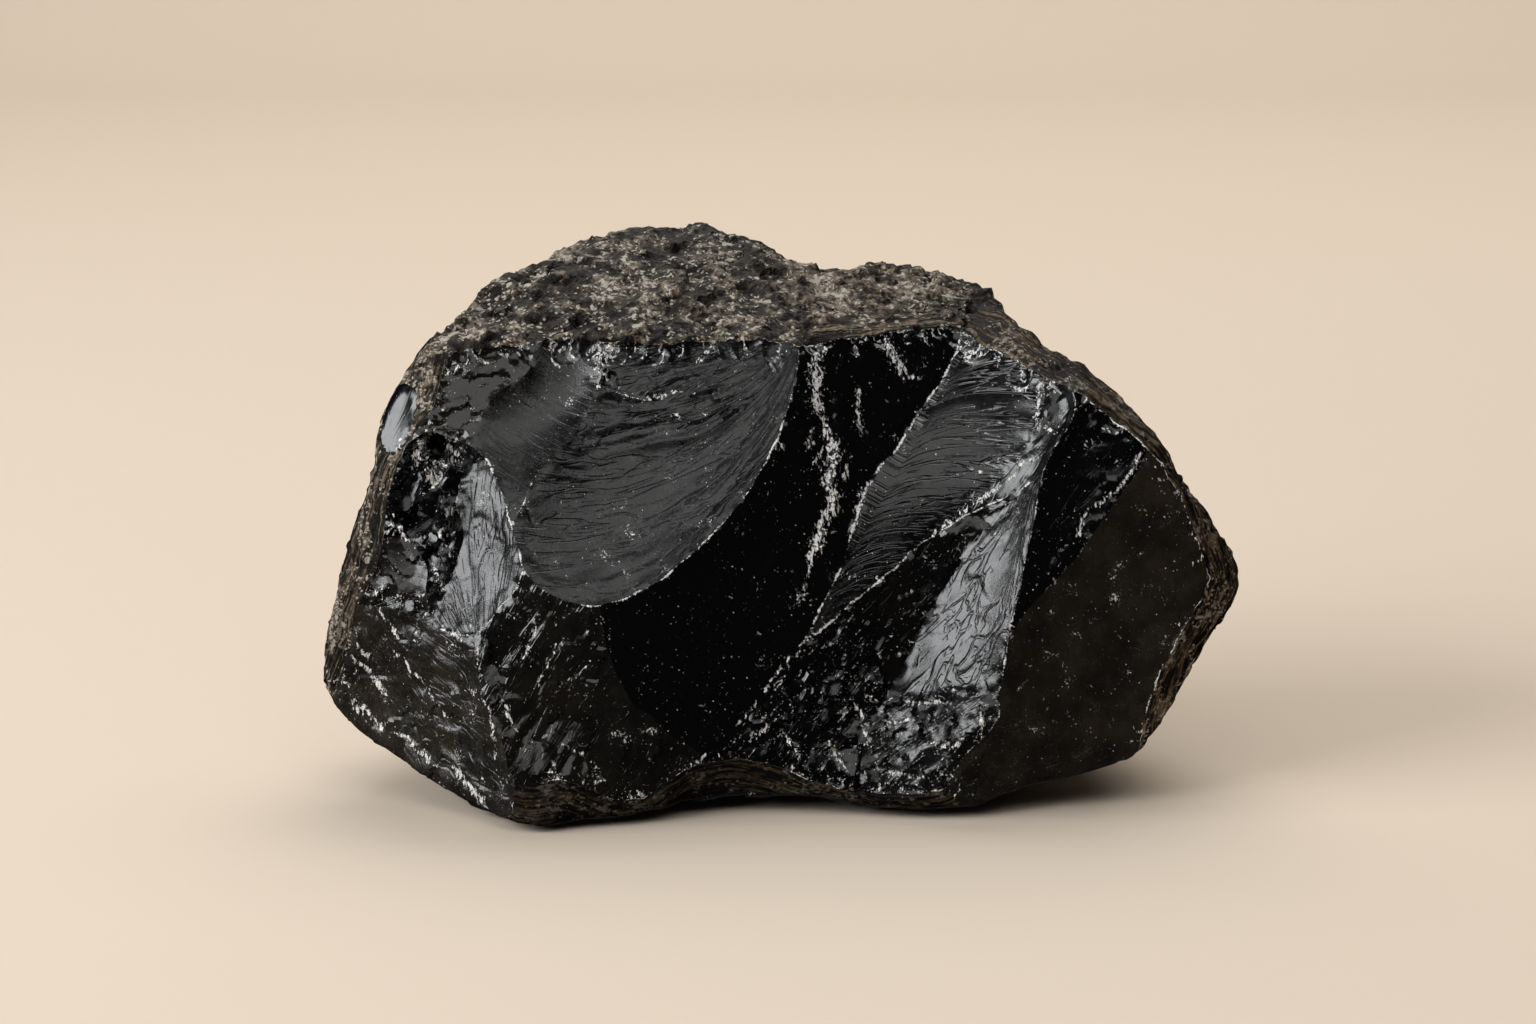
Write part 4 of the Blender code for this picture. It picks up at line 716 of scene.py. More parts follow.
# Bruised white streaks of the near side: readings along each, and its half width in grid units where it is widest.
STREAKS = [
    ([(822, 344), (819, 362), (816, 385), (817, 404), (823, 421)], 9.0), ([(822, 420), (829, 436), (833, 458), (828, 480), (833, 497), (823, 522), (813, 548), (806, 566)], 9.5),
    ([(828, 438), (819, 454), (811, 471)], 3.5), ([(810, 430), (808, 441), (805, 452)], 4.5), ([(856, 386), (858, 402), (861, 420), (860, 440)], 5.0),
    ([(888, 340), (893, 351), (902, 366), (906, 375)], 9.0), ([(903, 366), (913, 374), (922, 381)], 3.0), ([(920, 332), (925, 338), (930, 346)], 4.0),
    ([(848, 462), (846, 472), (845, 483)], 4.5), ([(872, 476), (862, 492), (856, 508), (851, 530)], 5.5), ([(866, 484), (864, 494), (862, 502)], 8.0),
    ([(812, 560), (806, 580), (801, 596)], 2.5), ([(972, 359), (980, 353), (989, 348)], 4.0), ([(993, 350), (996, 362)], 3.0), ([(1016, 366), (1024, 381)], 5.0),
    ([(1043, 383), (1037, 396), (1036, 408), (1040, 428)], 4.5), ([(1040, 452), (1012, 476), (985, 494), (956, 517), (925, 541)], 4.0),
    ([(1142, 446), (1135, 464), (1125, 484), (1108, 498), (1092, 507)], 3.5), ([(1098, 398), (1106, 412), (1112, 426)], 3.0), ([(1118, 420), (1116, 430)], 3.5),
    ([(1090, 507), (1082, 520), (1078, 540)], 3.0), ([(1157, 479), (1166, 477)], 2.5), ([(1172, 512), (1183, 508)], 2.5), ([(1186, 536), (1197, 528)], 3.0),
    ([(801, 647), (791, 660), (778, 676), (766, 691)], 3.0), ([(757, 703), (748, 716), (737, 735)], 3.0), ([(760, 716), (764, 730), (757, 742)], 4.0),
    ([(597, 342), (600, 356), (599, 374), (597, 386)], 8.0), ([(573, 340), (567, 348), (560, 352)], 6.0), ([(609, 340), (610, 352), (606, 366)], 7.0),
    ([(640, 396), (648, 398), (660, 397), (676, 392)], 4.0), ([(447, 440), (452, 452), (446, 468), (438, 486)], 8.0), ([(428, 436), (421, 450), (415, 470)], 7.0),
    ([(402, 440), (398, 456)], 6.0), ([(456, 500), (450, 522), (446, 545)], 5.0), ([(432, 560), (440, 578), (446, 596)], 4.0), ([(388, 520), (400, 532), (412, 548)], 4.0),
    ([(437, 620), (450, 630), (466, 638)], 5.0), ([(474, 640), (478, 660), (482, 682)], 3.0), ([(536, 616), (530, 640), (522, 660)], 2.5), ([(556, 640), (548, 664), (541, 690)], 2.5),
    ([(500, 700), (510, 716), (520, 736)], 3.0), ([(560, 740), (580, 752), (600, 768)], 3.0), ([(850, 700), (862, 722), (868, 748)], 3.5), ([(880, 716), (898, 724), (920, 722)], 4.0),
    ([(930, 742), (948, 748), (966, 740)], 4.0), ([(820, 736), (834, 752), (846, 770)], 4.0), ([(778, 730), (790, 744), (800, 762)], 4.0), ([(880, 768), (900, 776), (926, 780)], 4.0),
    ([(350, 652), (366, 672), (388, 697)], 4.0), ([(352, 702), (370, 716), (388, 732)], 4.0), ([(393, 732), (414, 748), (436, 762)], 5.0),
    ([(393, 646), (420, 680), (444, 719)], 1.8), ([(380, 611), (393, 626), (406, 641)], 3.0), ([(453, 766), (470, 786), (491, 809)], 4.5),
    ([(356, 634), (362, 648), (372, 660)], 3.0), ([(340, 660), (343, 680), (352, 694)], 3.0), ([(480, 690), (490, 730), (500, 790)], 1.6),
    ([(980, 706), (984, 720), (978, 738)], 3.0), ([(906, 700), (930, 706), (952, 702)], 3.0),
]

# Flakes along the ridges, by the ends of the ridge: (spacing, reach into the glass and into the rind, depth), mm.
FLAKES = {
    ("t0", "t1"): (2.5, 2.6, 0.6, 0.95), ("t1", "t2"): (2.6, 3.4, 0.8, 1.40), ("t2", "t4"): (2.4, 2.8, 0.7, 1.15), ("t4", "t6"): (2.3, 2.1, 0.5, 0.70),
    ("t6", "t7"): (3.2, 3.0, 0.6, 0.65), ("t7", "t8"): (3.2, 2.6, 0.6, 0.55), ("t8", "t9"): (2.8, 2.2, 0.6, 0.40), ("t9", "t9b"): (2.6, 2.0, 0.6, 0.35),
    ("t9b", "t11"): (2.8, 1.8, 0.6, 0.32), ("t11", "s61"): (3.4, 1.6, 0.6, 0.28), ("b0", "b1"): (3.2, 1.8, 0.8, 0.30), ("b2", "b3"): (3.0, 1.8, 0.8, 0.32),
    ("b1", "b2"): (3.0, 1.8, 0.8, 0.30), ("b3", "b4"): (2.6, 1.6, 0.8, 0.30), ("t0", "l3"): (2.6, 1.8, 0.8, 0.40), ("l3", "l5"): (2.6, 1.8, 0.8, 0.40),
    ("l5", "l6"): (2.6, 1.8, 0.8, 0.35), ("l3", "vx"): (2.6, 2.0, 1.0, 0.50), ("vx", "ve"): (2.6, 1.4, 1.0, 0.40), ("vd", "t2"): (2.2, 2.0, 1.6, 0.45),
    ("vd", "vdc"): (2.4, 0.9, 0.9, 0.10), ("t4", "vc1"): (2.6, 0.8, 0.6, 0.09), ("t6", "vj"): (2.2, 0.9, 0.8, 0.14),
}
PLAIN_FLAKES = (2.4, 1.0, 1.0, 0.16)

# Ridges with no bruised line on them, by their ends, and scars hollowed otherwise than in the solid, in mm.
QUIET = {("vc1", "b2"), ("vfg", "b0"), ("pb0", "s61"), ("vln", "pb0"), ("vq", "b3")}
HOLLOWS = {"great_scar": 2.4, "small_scar": 1.9, "blue_scar": 0.2, "shoulder": 0.6}

# Layered rind whose strands follow a ridge, named by its corners.
STRANDS = [
    (("rind_upper_right", "rind_right", "rind_lower_right"), ("t6", "t7", "t8", "t9", "t9b", "t11", "s61")),
    (("rind_left",), ("t0", "l3", "l5", "l6", "l7", "s92")), (("rind_top_mid",), ("t4", "t6")),
    (("under_left", "under_mid", "under_foot"), ("b0", "b1", "b2", "b3", "b4")),
]

# Broad lights (+) and darks (-) of the near side's rind, with dips (-) and humps (+) in mm: reading, half sizes, turn in
# degrees, tone, height.
RIND_MARKS = [
    (570, 250, 17, 8, 20, 0.9, 0.3), (641, 240, 26, 6, 5, 0.8, 0.2), (566, 281, 38, 11, 15, 0.35, 0.5), (491, 297, 26, 16, 30, -0.35, -0.5),
    (600, 310, 44, 14, 5, -0.30, -0.6), (685, 306, 46, 20, 0, 0.45, 0.5), (705, 262, 30, 16, 0, -0.15, 0.4), (724, 238, 24, 10, -25, -0.55, 0.0),
    (753, 297, 13, 17, 70, -0.90, -1.1), (760, 262, 26, 10, -25, -0.20, 0.3), (818, 293, 42, 12, 0, 0.65, -0.9), (800, 322, 34, 8, -8, 0.35, 0.5),
    (880, 268, 26, 8, 0, 0.30, 0.4), (905, 296, 40, 12, -5, -0.10, -0.5), (948, 288, 24, 10, -20, 0.25, 0.4), (986, 318, 22, 10, -45, -0.3, -0.4),
    (1010, 335, 26, 9, -40, 0.3, 0.4), (1068, 372, 26, 8, -30, 0.3, 0.5), (1103, 396, 24, 8, -42, -0.3, -0.5), (1150, 436, 26, 9, -50, 0.25, 0.4),
    (540, 322, 60, 7, 3, -0.5, -0.3), (700, 330, 60, 6, 0, -0.35, -0.2), (455, 330, 18, 10, 35, 0.2, 0.3), (640, 270, 40, 12, 10, -0.25, -0.4),
    (860, 290, 110, 40, 0, 0.55, 0.0), (350, 600, 9, 40, 0, 0.3, 0.3), (372, 520, 9, 34, 0, -0.2, -0.3), (335, 680, 10, 26, 0, -0.1, 0.2), (420, 372, 12, 18, 20, 0.3, 0.2),
]


# ---------------------------------------------------------------- the skin
def nearest_edge(points, loop, sharp):
    """Distance of points from a loop in its own plane, and how crisp the nearest stretch of it is."""
    best, crisp = np.full(len(points), 1e9), np.zeros(len(points))
    for a, b, s in zip(loop, np.roll(loop, -1, axis=0), sharp):
        d = b - a
        t = np.clip(((points - a) @ d) / max(d @ d, 1e-12), 0, 1)
        off = points - a - t[:, None] * d
        far = np.sqrt((off * off).sum(axis=1))
        nearer = far < best
        best[nearer], crisp[nearer] = far[nearer], s
    return best, crisp


def line_distance(x, y, line):
    best = np.full(len(x), 1e9)
    for (ax, ay), (bx, by) in zip(line, line[1:]):
        dx, dy = bx - ax, by - ay
        t = np.clip(((x - ax) * dx + (y - ay) * dy) / (dx * dx + dy * dy), 0, 1)
        best = np.minimum(best, np.hypot(x - ax - t * dx, y - ay - t * dy))
    return best


def along_line(points, line):
    """How far along a line the nearest place on it is, and how far away."""
    best, at = np.full(len(points), 1e9), np.zeros(len(points))
    run = 0.0
    for a, b in zip(line, line[1:]):
        d = b - a
        size = np.linalg.norm(d)
        t = np.clip(((points - a) @ d) / max(d @ d, 1e-12), 0, 1)
        off = points - a - t[:, None] * d
        far = np.sqrt((off * off).sum(axis=1))
        nearer = far < best
        best[nearer], at[nearer] = far[nearer], (run + t * size)[nearer]
        run += size
    return best, at, run


def flakes(points, line, spacing, reach, glassy, depth, rng):
    """Small flakes bitten out along a ridge: how deep each place lies, and how near it is to the rim of a flake. reach
    is given for each point; on glass a flake is deepest a little way in."""
    far, at, total = along_line(points, line)
    tall, rim = np.zeros(len(points)), np.zeros(len(points))
    s = rng.uniform(0.2, 1.0) * spacing
    while s < total:
        half, size, deep, lean = spacing * rng.uniform(0.30, 0.75), rng.uniform(0.35, 1.45), depth * rng.uniform(0.45, 1.2), rng.uniform(-0.45, 0.45)
        q = ((at - s - lean * far) / half) ** 2 + ((far - 0.42 * glassy * reach * size) / ((1.0 - 0.38 * glassy) * reach * size)) ** 2
        here = deep * np.sqrt(np.clip(1 - q, 0, 1))
        edge = np.exp(-(((np.sqrt(q) - 1.0) / 0.27) ** 2)) * min(1.0, deep / 0.3)
        edge = edge * np.minimum(0.66 + 0.42 * np.tanh(3.0 * rng.choice([-1.0, 1.0]) * (at - s) / half), 1.0)     # bruised on one flank
        tall, rim = np.maximum(tall, here), np.maximum(rim, edge)
        s += spacing * rng.uniform(0.35, 1.7)
    return tall, rim


def build_skin():
    rng = np.random.default_rng(SEED)
    net = Net()
    depths = solve_depths(net, net.loops(net.near + net.outline, NEAR_FACES))
    places = np.array([from_grid(x, y, w) for (x, y), w in zip(net.xy, depths)])
    points, runs, lines = refine(net, places, (0.55, STEP[2]))
    points = np.array(points)
    ridge_sharp = np.zeros(len(points))
    edge_sharp = {}
    for run, sharp in lines:
        ridge_sharp[run] = np.maximum(ridge_sharp[run], sharp)
        for a, b in zip(run, run[1:]):
            edge_sharp[a, b] = edge_sharp[b, a] = sharp
    name = {i: k for k, i in net.names.items()}
    for line, _ in net.near:
        if (name.get(line[0]), name.get(line[-1])) in QUIET:
            for a, b in zip(line, line[1:]):
                for p, q in zip(runs[a, b], runs[a, b][1:]):
                    edge_sharp[p, q] = edge_sharp[q, p] = 0.3
    flat_base = np.abs(points[:, 2] - FLOOR) < 1e-3
    shake = np.stack([0.13 * perlin(points / 1.3 + 31.7 * k) + 0.30 * perlin(points / 4.6 + 17.3 * k) for k in range(3)], axis=1)
    shake *= (0.25 + 0.75 * ridge_sharp)[:, None]
    far_line, rim_line = np.zeros(len(points), bool), np.zeros(len(points), bool)
    for table, flag in ((net.far, far_line), (net.near, rim_line), (net.outline, rim_line)):
        for line, _ in table:
            for a, b in zip(line, line[1:]):
                flag[runs[a, b]] = True
    outer = np.zeros(len(points), bool)
    for line, _ in net.outline:
        for a, b in zip(line, line[1:]):
            outer[runs[a, b]] = True
    shake += (0.20 * outer)[:, None] * np.stack([perlin(points / 3.1 + 23.3 * k) for k in range(3)], axis=1)
    shake += (far_line & ~rim_line)[:, None] * np.stack([1.3 * perlin(points / 10.0 + 5.3 * k) + 0.25 * perlin(points / 4.0 + 2.3 * k) for k in range(3)], axis=1)
    shake[flat_base, 2] = 0.0
    points = points + shake

    points = list(points)
    faces = []
    for side, (table, spec) in enumerate(((net.near, NEAR_FACES), (net.far, FAR_FACES))):
        for face, loop in net.loops(table + net.outline, spec).items():
            if side:
                loop = loop[::-1]
            ring = []
            for a, b in zip(loop, loop[1:] + loop[:1]):
                ring += runs[a, b][:-1]
            sharp = [edge_sharp[a, b] for a, b in zip(ring, ring[1:] + ring[:1])]
            edge = np.array([points[i] for i in ring])
            step = STEP[2] if side else STEP[1] if FINISH[face][0] > 0.5 else STEP[0]
            inner, new, flat = fill(edge, step, HOLLOWS.get(face, spec[face][-1]), rng)
            far, crisp = nearest_edge(flat[len(ring):], flat[: len(ring)], sharp)
            index = np.array(ring + list(range(len(points), len(points) + len(inner))))
            points += list(inner)
            faces.append((face, side, index, new, flat, np.concatenate([np.zeros(len(ring)), far]), np.concatenate([sharp, crisp])))
    points = np.array(points)
    tris = np.vstack([index[new] for _, _, index, new, *_ in faces])
    n = len(points)

    # what each point knows: distance from its face's edge, from a crisp ridge, and how much of it is rind
    far, edge, rind, uses = np.full(n, 1e9), np.full(n, 1e9), np.zeros(n), np.zeros(n)
    for face, side, index, new, flat, off, crisp in faces:
        far[index] = np.minimum(far[index], off)
        edge[index] = np.minimum(edge[index], np.where(crisp >= 0.4, off + (1 - crisp) * 0.5 + 0.12 * side, 9.0))
        rind[index] += FINISH.get(face, PLAIN_FINISH)[0]
        uses[index] += 1
    rind /= uses
    held = np.zeros(n, bool)
    for face, side, index, *_ in faces:
        if face == "base":
            held[index] = True

    # worn turns
    pairs = neighbours(tris)
    near, soft = np.full(n, 1e9), np.zeros(n)
    sharp_line = np.zeros(n, bool)
    for run, sharp in lines:
        if sharp >= 0.4:
            sharp_line[run] = True
            continue
        for a, b in zip(run[::3], run[3::3] + [run[-1]]):
            p, d = points[a], points[b] - points[a]
            t = np.clip(((points - p) @ d) / max(d @ d, 1e-12), 0, 1)
            off = points - p - t[:, None] * d
            off = np.sqrt((off * off).sum(axis=1))
            nearer = off < near
            near[nearer], soft[nearer] = off[nearer], 1.0 - sharp
    weight = 0.6 * np.clip(1 - near / 7.0, 0, 1) * soft
    weight[sharp_line] = (0.6 * soft * np.clip(1 - near / 4.0, 0, 1))[sharp_line]
    weight[held] = 0.0
    worn = smooth(points, pairs, weight, SOFT_ROUNDS)
    for _ in range(2):
        worn = worn + smooth(points - worn, pairs, weight, SOFT_ROUNDS)
    points = worn

    # relief
    normals = vertex_normals(points, tris)
    gx, gy = to_grid(points)
    pairs_of = {}
    for line, _ in net.near:
        pairs_of[line[0], line[-1]] = line
    strands = {}
    for owners, ends in STRANDS:
        run = []
        for a, b in zip(ends, ends[1:]):
            line = pairs_of[net.names[a], net.names[b]]
            for p, q in zip(line, line[1:]):
                run += runs[p, q][:-1]
        ridge = points[run[::3]]
        for face, side, index, *_ in faces:
            if face in owners:
                away, at, _ = along_line(points[index], ridge)
                strands[face] = (away, at)
    tall, border = np.zeros(n), np.zeros(n)
    coarse = 0.75 * fbm(points, 9.0, 1.0, 1) + 0.30 * fbm(points, 4.0, 2.0, 2) + shatter(points, 5.5, 0.22, 4.0)[0]
    small = 0.26 * fbm(points, 1.8, 3.0, 2) - 0.60 * np.clip(fbm(points, 2.6, 6.0, 1) - 0.30, 0, 1) + shatter(points, 2.4, 0.24, 8.0)[0]
    mark, dent = np.zeros(n), np.zeros(n)
    for x, y, rx, ry, turn, tone, height in RIND_MARKS:
        c, s = math.cos(math.radians(turn)), math.sin(math.radians(turn))
        dx, dy = gx - x, y - gy
        near_it = np.exp(-(((dx * c + dy * s) / rx) ** 2 + ((dy * c - dx * s) / ry) ** 2))
        mark += tone * near_it
        dent += height * near_it
    swell = np.zeros(n)
    for x, y, rx, ry, turn, height in GLASS_MARKS:
        c, s = math.cos(math.radians(turn)), math.sin(math.radians(turn))
        dx, dy = gx - x, y - gy
        swell += height * np.exp(-(((dx * c + dy * s) / rx) ** 2 + ((dy * c - dx * s) / ry) ** 2))
    quiet = np.clip(edge / 2.5, 0.25, 1.0)
    banded = np.zeros(n)
    for face, side, index, *_ in faces:
        share = FINISH.get(face, PLAIN_FINISH)[4] * (ramp(edge[index], 8.0, 3.0) if face == "rind_top_mid" else 1.0)
        banded[index] = np.maximum(banded[index], share)
    tall += rind * (1 - 0.55 * banded) * (coarse * quiet + small * np.clip(edge / 1.2, 0.2, 1.0))
    # Painted shade for the rind's colour: its relief heights, so that it is darker in the dips and lighter on the
    # humps; the broad tone marks and the strand tone are added to it below.
    hollow = rind * (0.55 * coarse + 1.3 * small)
    for face, side, index, new, flat, off, crisp in faces:
        inner = off > 0
        who = index[inner]
        p = points[who]
        if face in strands:
            across, along = strands[face][0][inner], strands[face][1][inner]
        elif side == 0:
            across, along = grain_at(face, gx[who], gy[who])
        else:
            across = np.hypot(*(flat[inner] - flat[0]).T)
            along = np.arctan2(*(flat[inner] - flat[0]).T[::-1]) * 20.0
        fade = ramp(off[inner], 0.2, 1.6)
        finish = FINISH.get(face, PLAIN_FINISH)
        if finish[0] < 0.5:
            tall[who] += fade * (waves(face if side == 0 else None, across, along, p, off[inner]) + swell[who] * (1 - side))
            size, lean, bruised = SHATTER.get(face, (4.5, 0.0, 0.0)) if side == 0 else (6.5, 0.09, 0.0)
            facets, off_border = shatter(p, size, lean, 2.0)
            tall[who] += ramp(off[inner], 0.0, 0.9) * facets
            finer, off_finer = shatter(p, 0.45 * size, 0.35 * lean, 5.0)
            tall[who] += ramp(off[inner], 0.0, 0.9) * finer
            border[who] = bruised * np.maximum(np.clip(1 - off_border / 0.8, 0, 1), 0.8 * np.clip(1 - off_finer / 0.5, 0, 1))
        else:
            if side == 0:
                tall[who] += dent[who] * fade
                hollow[who] += 1.6 * mark[who]
            strip = fbm(np.column_stack([across / 1.5, along / 18.0, np.full(len(p), 0.7)]), 1.0, 5.0, 2)
            band = finish[4] * (ramp(edge[who], 8.0, 3.0) if face == "rind_top_mid" else 1.0)
            tall[who] += fade * band * 0.50 * strip
            hollow[who] += band * 0.35 * strip
    # flakes bitten out along the crisp ridges of the near side, then ragged chips on all of them
    near_side, glassy = np.zeros(n, bool), np.zeros(n, bool)
    for face, side, index, new, flat, off, crisp in faces:
        if side == 0:
            near_side[index] = True
            if FINISH[face][0] < 0.5:
                glassy[index] = True
    rim = np.zeros(n)
    bitten = np.zeros(n)
    for line, sharp in net.near + net.far:
        if sharp < 0.5:
            continue
        spacing, glass_reach, rind_reach, depth = FLAKES.get((name.get(line[0]), name.get(line[-1])), PLAIN_FLAKES)
        of_side = near_side
        if (line, sharp) in net.far:
            spacing, glass_reach, rind_reach, depth, of_side = 4.5, 2.6, 1.5, 0.55, ~near_side
        run = [runs[line[0], line[1]][0]]
        for a, b in zip(line, line[1:]):
            run += runs[a, b][1:]
        ridge = points[run[::2] + ([] if len(run) % 2 else [run[-1]])]
        low, high = ridge.min(axis=0) - 1.4 * glass_reach, ridge.max(axis=0) + 1.4 * glass_reach
        who = np.flatnonzero(of_side & (points >= low).all(axis=1) & (points <= high).all(axis=1))
        reach = np.where(glassy[who], glass_reach, rind_reach)
        deep, edge_of = flakes(points[who], ridge, spacing, reach, 1.0 * glassy[who], depth, rng)
        bitten[who] = np.maximum(bitten[who], deep)
        rim[who] = np.maximum(rim[who], edge_of * glassy[who])
    bite = ramp(fbm(points, 2.4, 41.0, 2), 0.15, 0.75)
    tall -= 0.30 * bite * np.clip(1 - edge / 1.5, 0, 1) ** 2 * (1 - 0.6 * rind)
    points = points + normals * ((tall - bitten) * ~held)[:, None]
    points[held, 2] = FLOOR
    under = ~held & (points[:, 2] < FLOOR + 0.12)
    points[under, 2] = FLOOR + 0.12
    return points, tris, faces, edge, rind, gx, gy, hollow, np.maximum(rim, border), strands


def neighbours(tris):
    pairs = np.sort(np.vstack([tris[:, [0, 1]], tris[:, [1, 2]], tris[:, [2, 0]]]), axis=1)
    return np.unique(pairs, axis=0)


def make_chunk():
    points, tris, faces, edge, rind, gx, gy, hollow, rim, strands = build_skin()
    world = (points - (MIDDLE[0], MIDDLE[1], FLOOR)) * SCALE / 1000.0
    low, high = np.array(CAD_BOX[0]), np.array(CAD_BOX[1])
    print("skin", len(points), "points", len(tris), "triangles; beyond the box by mm", np.round((low - world.min(axis=0)) * 1000, 3), np.round((world.max(axis=0) - high) * 1000, 3))
    bend = 0.0009      # the outermost humps are worn down to the box of the solid
    world[:, 2] = np.maximum(world[:, 2], 0.0)
    for k in range(3):
        over = world[:, k] - (high[k] - bend)
        world[:, k] = np.where(over > 0, high[k] - bend * np.exp(-np.maximum(over, 0) / bend), world[:, k])
        if k < 2:
            over = (low[k] + bend) - world[:, k]
            world[:, k] = np.where(over > 0, low[k] + bend * np.exp(-np.maximum(over, 0) / bend), world[:, k])
    world = np.clip(world, low + 1e-5, high - 1e-5)
    world[:, 2] = np.maximum(world[:, 2], 0.0)
    mesh = bpy.data.meshes.new("chunk_skin")
    mesh.vertices.add(len(world))
    mesh.vertices.foreach_set("co", world.astype(np.float32).ravel())
    mesh.loops.add(len(tris) * 3)
    mesh.loops.foreach_set("vertex_index", tris.astype(np.int32).ravel())
    mesh.polygons.add(len(tris))
    mesh.polygons.foreach_set("loop_start", np.arange(0, len(tris) * 3, 3, dtype=np.int32))
    mesh.update(calc_edges=True)
    mesh.validate()

    grain, finish, band = [], [], []
    for k, (face, side, index, new, flat, off, crisp) in enumerate(faces):
        if face in strands:
            across, along = strands[face]
        elif side == 0:
            across, along = grain_at(face, gx[index], gy[index])
        else:
            d = flat - flat[0]
            across, along = np.hypot(d[:, 0], d[:, 1]), np.arctan2(d[:, 1], d[:, 0]) * 20.0
        place = np.column_stack([across, along * STRETCH.get(face, 1.0), np.full(len(index), 7.3 * k)])
        grain.append(place[new].reshape(-1, 3))
        f = FINISH.get(face, PLAIN_FINISH)
        finish.append(np.tile(f[:4], (len(new) * 3, 1)))
        share = np.full(len(index), f[4])
        if face == "rind_top_mid":
            share *= ramp(edge[index], 8.0, 3.0)
        band.append(share[new].ravel())
    attr = mesh.attributes.new("grain", "FLOAT_VECTOR", "CORNER")
    attr.data.foreach_set("vector", np.vstack(grain).astype(np.float32).ravel())
    attr = mesh.attributes.new("finish", "FLOAT_COLOR", "CORNER")
    attr.data.foreach_set("color", np.vstack(finish).astype(np.float32).ravel())
    attr = mesh.attributes.new("band", "FLOAT", "CORNER")
    attr.data.foreach_set("value", np.concatenate(band).astype(np.float32))
    attr = mesh.attributes.new("edge", "FLOAT", "POINT")
    attr.data.foreach_set("value", np.minimum(edge, 9.0).astype(np.float32))
    bruise = np.zeros(len(points))
    near_side = np.zeros(len(points), bool)
    for face, side, index, *_ in faces:
        if side == 0:
            near_side[index] = True
    wx, wy = gx + 5.0 * plane_noise(gx, gy, 26.0, 2.0, 2), gy + 5.0 * plane_noise(gx, gy, 26.0, 6.0, 2)
    for line, half in STREAKS:
        far = line_distance(wx, wy, line)
        ends = np.minimum(np.hypot(wx - line[0][0], wy - line[0][1]), np.hypot(wx - line[-1][0], wy - line[-1][1]))
        taper = 0.35 + 0.65 * np.clip(ends / (2.5 * half), 0, 1)
        bruise = np.maximum(bruise, np.clip(1.0 - far / (2.0 * half * taper), 0, 1) * near_side)
    bruise = np.maximum(bruise, 0.96 * rim)
    attr = mesh.attributes.new("bruise", "FLOAT", "POINT")
    attr.data.foreach_set("value", bruise.astype(np.float32))
    # The rind's painted shade: darker in its dips and lighter on its humps, with the broad tone marks and the strand
    # tone.
    attr = mesh.attributes.new("relief_shade_and_tone", "FLOAT", "POINT")
    attr.data.foreach_set("value", hollow.astype(np.float32))

    of_rind = []
    for face, side, index, new, flat, off, crisp in faces:
        kind = np.full(len(new), FINISH.get(face, PLAIN_FINISH)[0] >= 0.5)
        if face == "left_chip":     # rind laps over the border of the chip
            off, crisp = np.where(crisp < 0.4, off, 9.0), crisp
            ragged = fbm(points[index][new].mean(axis=1), 2.0, 13.0, 1)
            kind |= off[new].min(axis=1) + 0.4 * ragged < 1.0
            cx, cy = gx[index][new].mean(axis=1) - 399, 416 - gy[index][new].mean(axis=1)
            kind |= ((0.29 * cx + 0.957 * cy) / 36) ** 2 + ((0.957 * cx - 0.29 * cy) / 15.5) ** 2 > 1.0 + 0.2 * ragged
        of_rind.append(kind)
    of_rind = np.concatenate(of_rind)
    mesh.polygons.foreach_set("material_index", of_rind.astype(np.int32))

    mesh.shade_smooth()
    mesh.set_sharp_from_angle(angle=math.radians(32))
    chunk = bpy.data.objects.new("chunk_skin", mesh)
    bpy.context.scene.collection.objects.link(chunk)
    return chunk


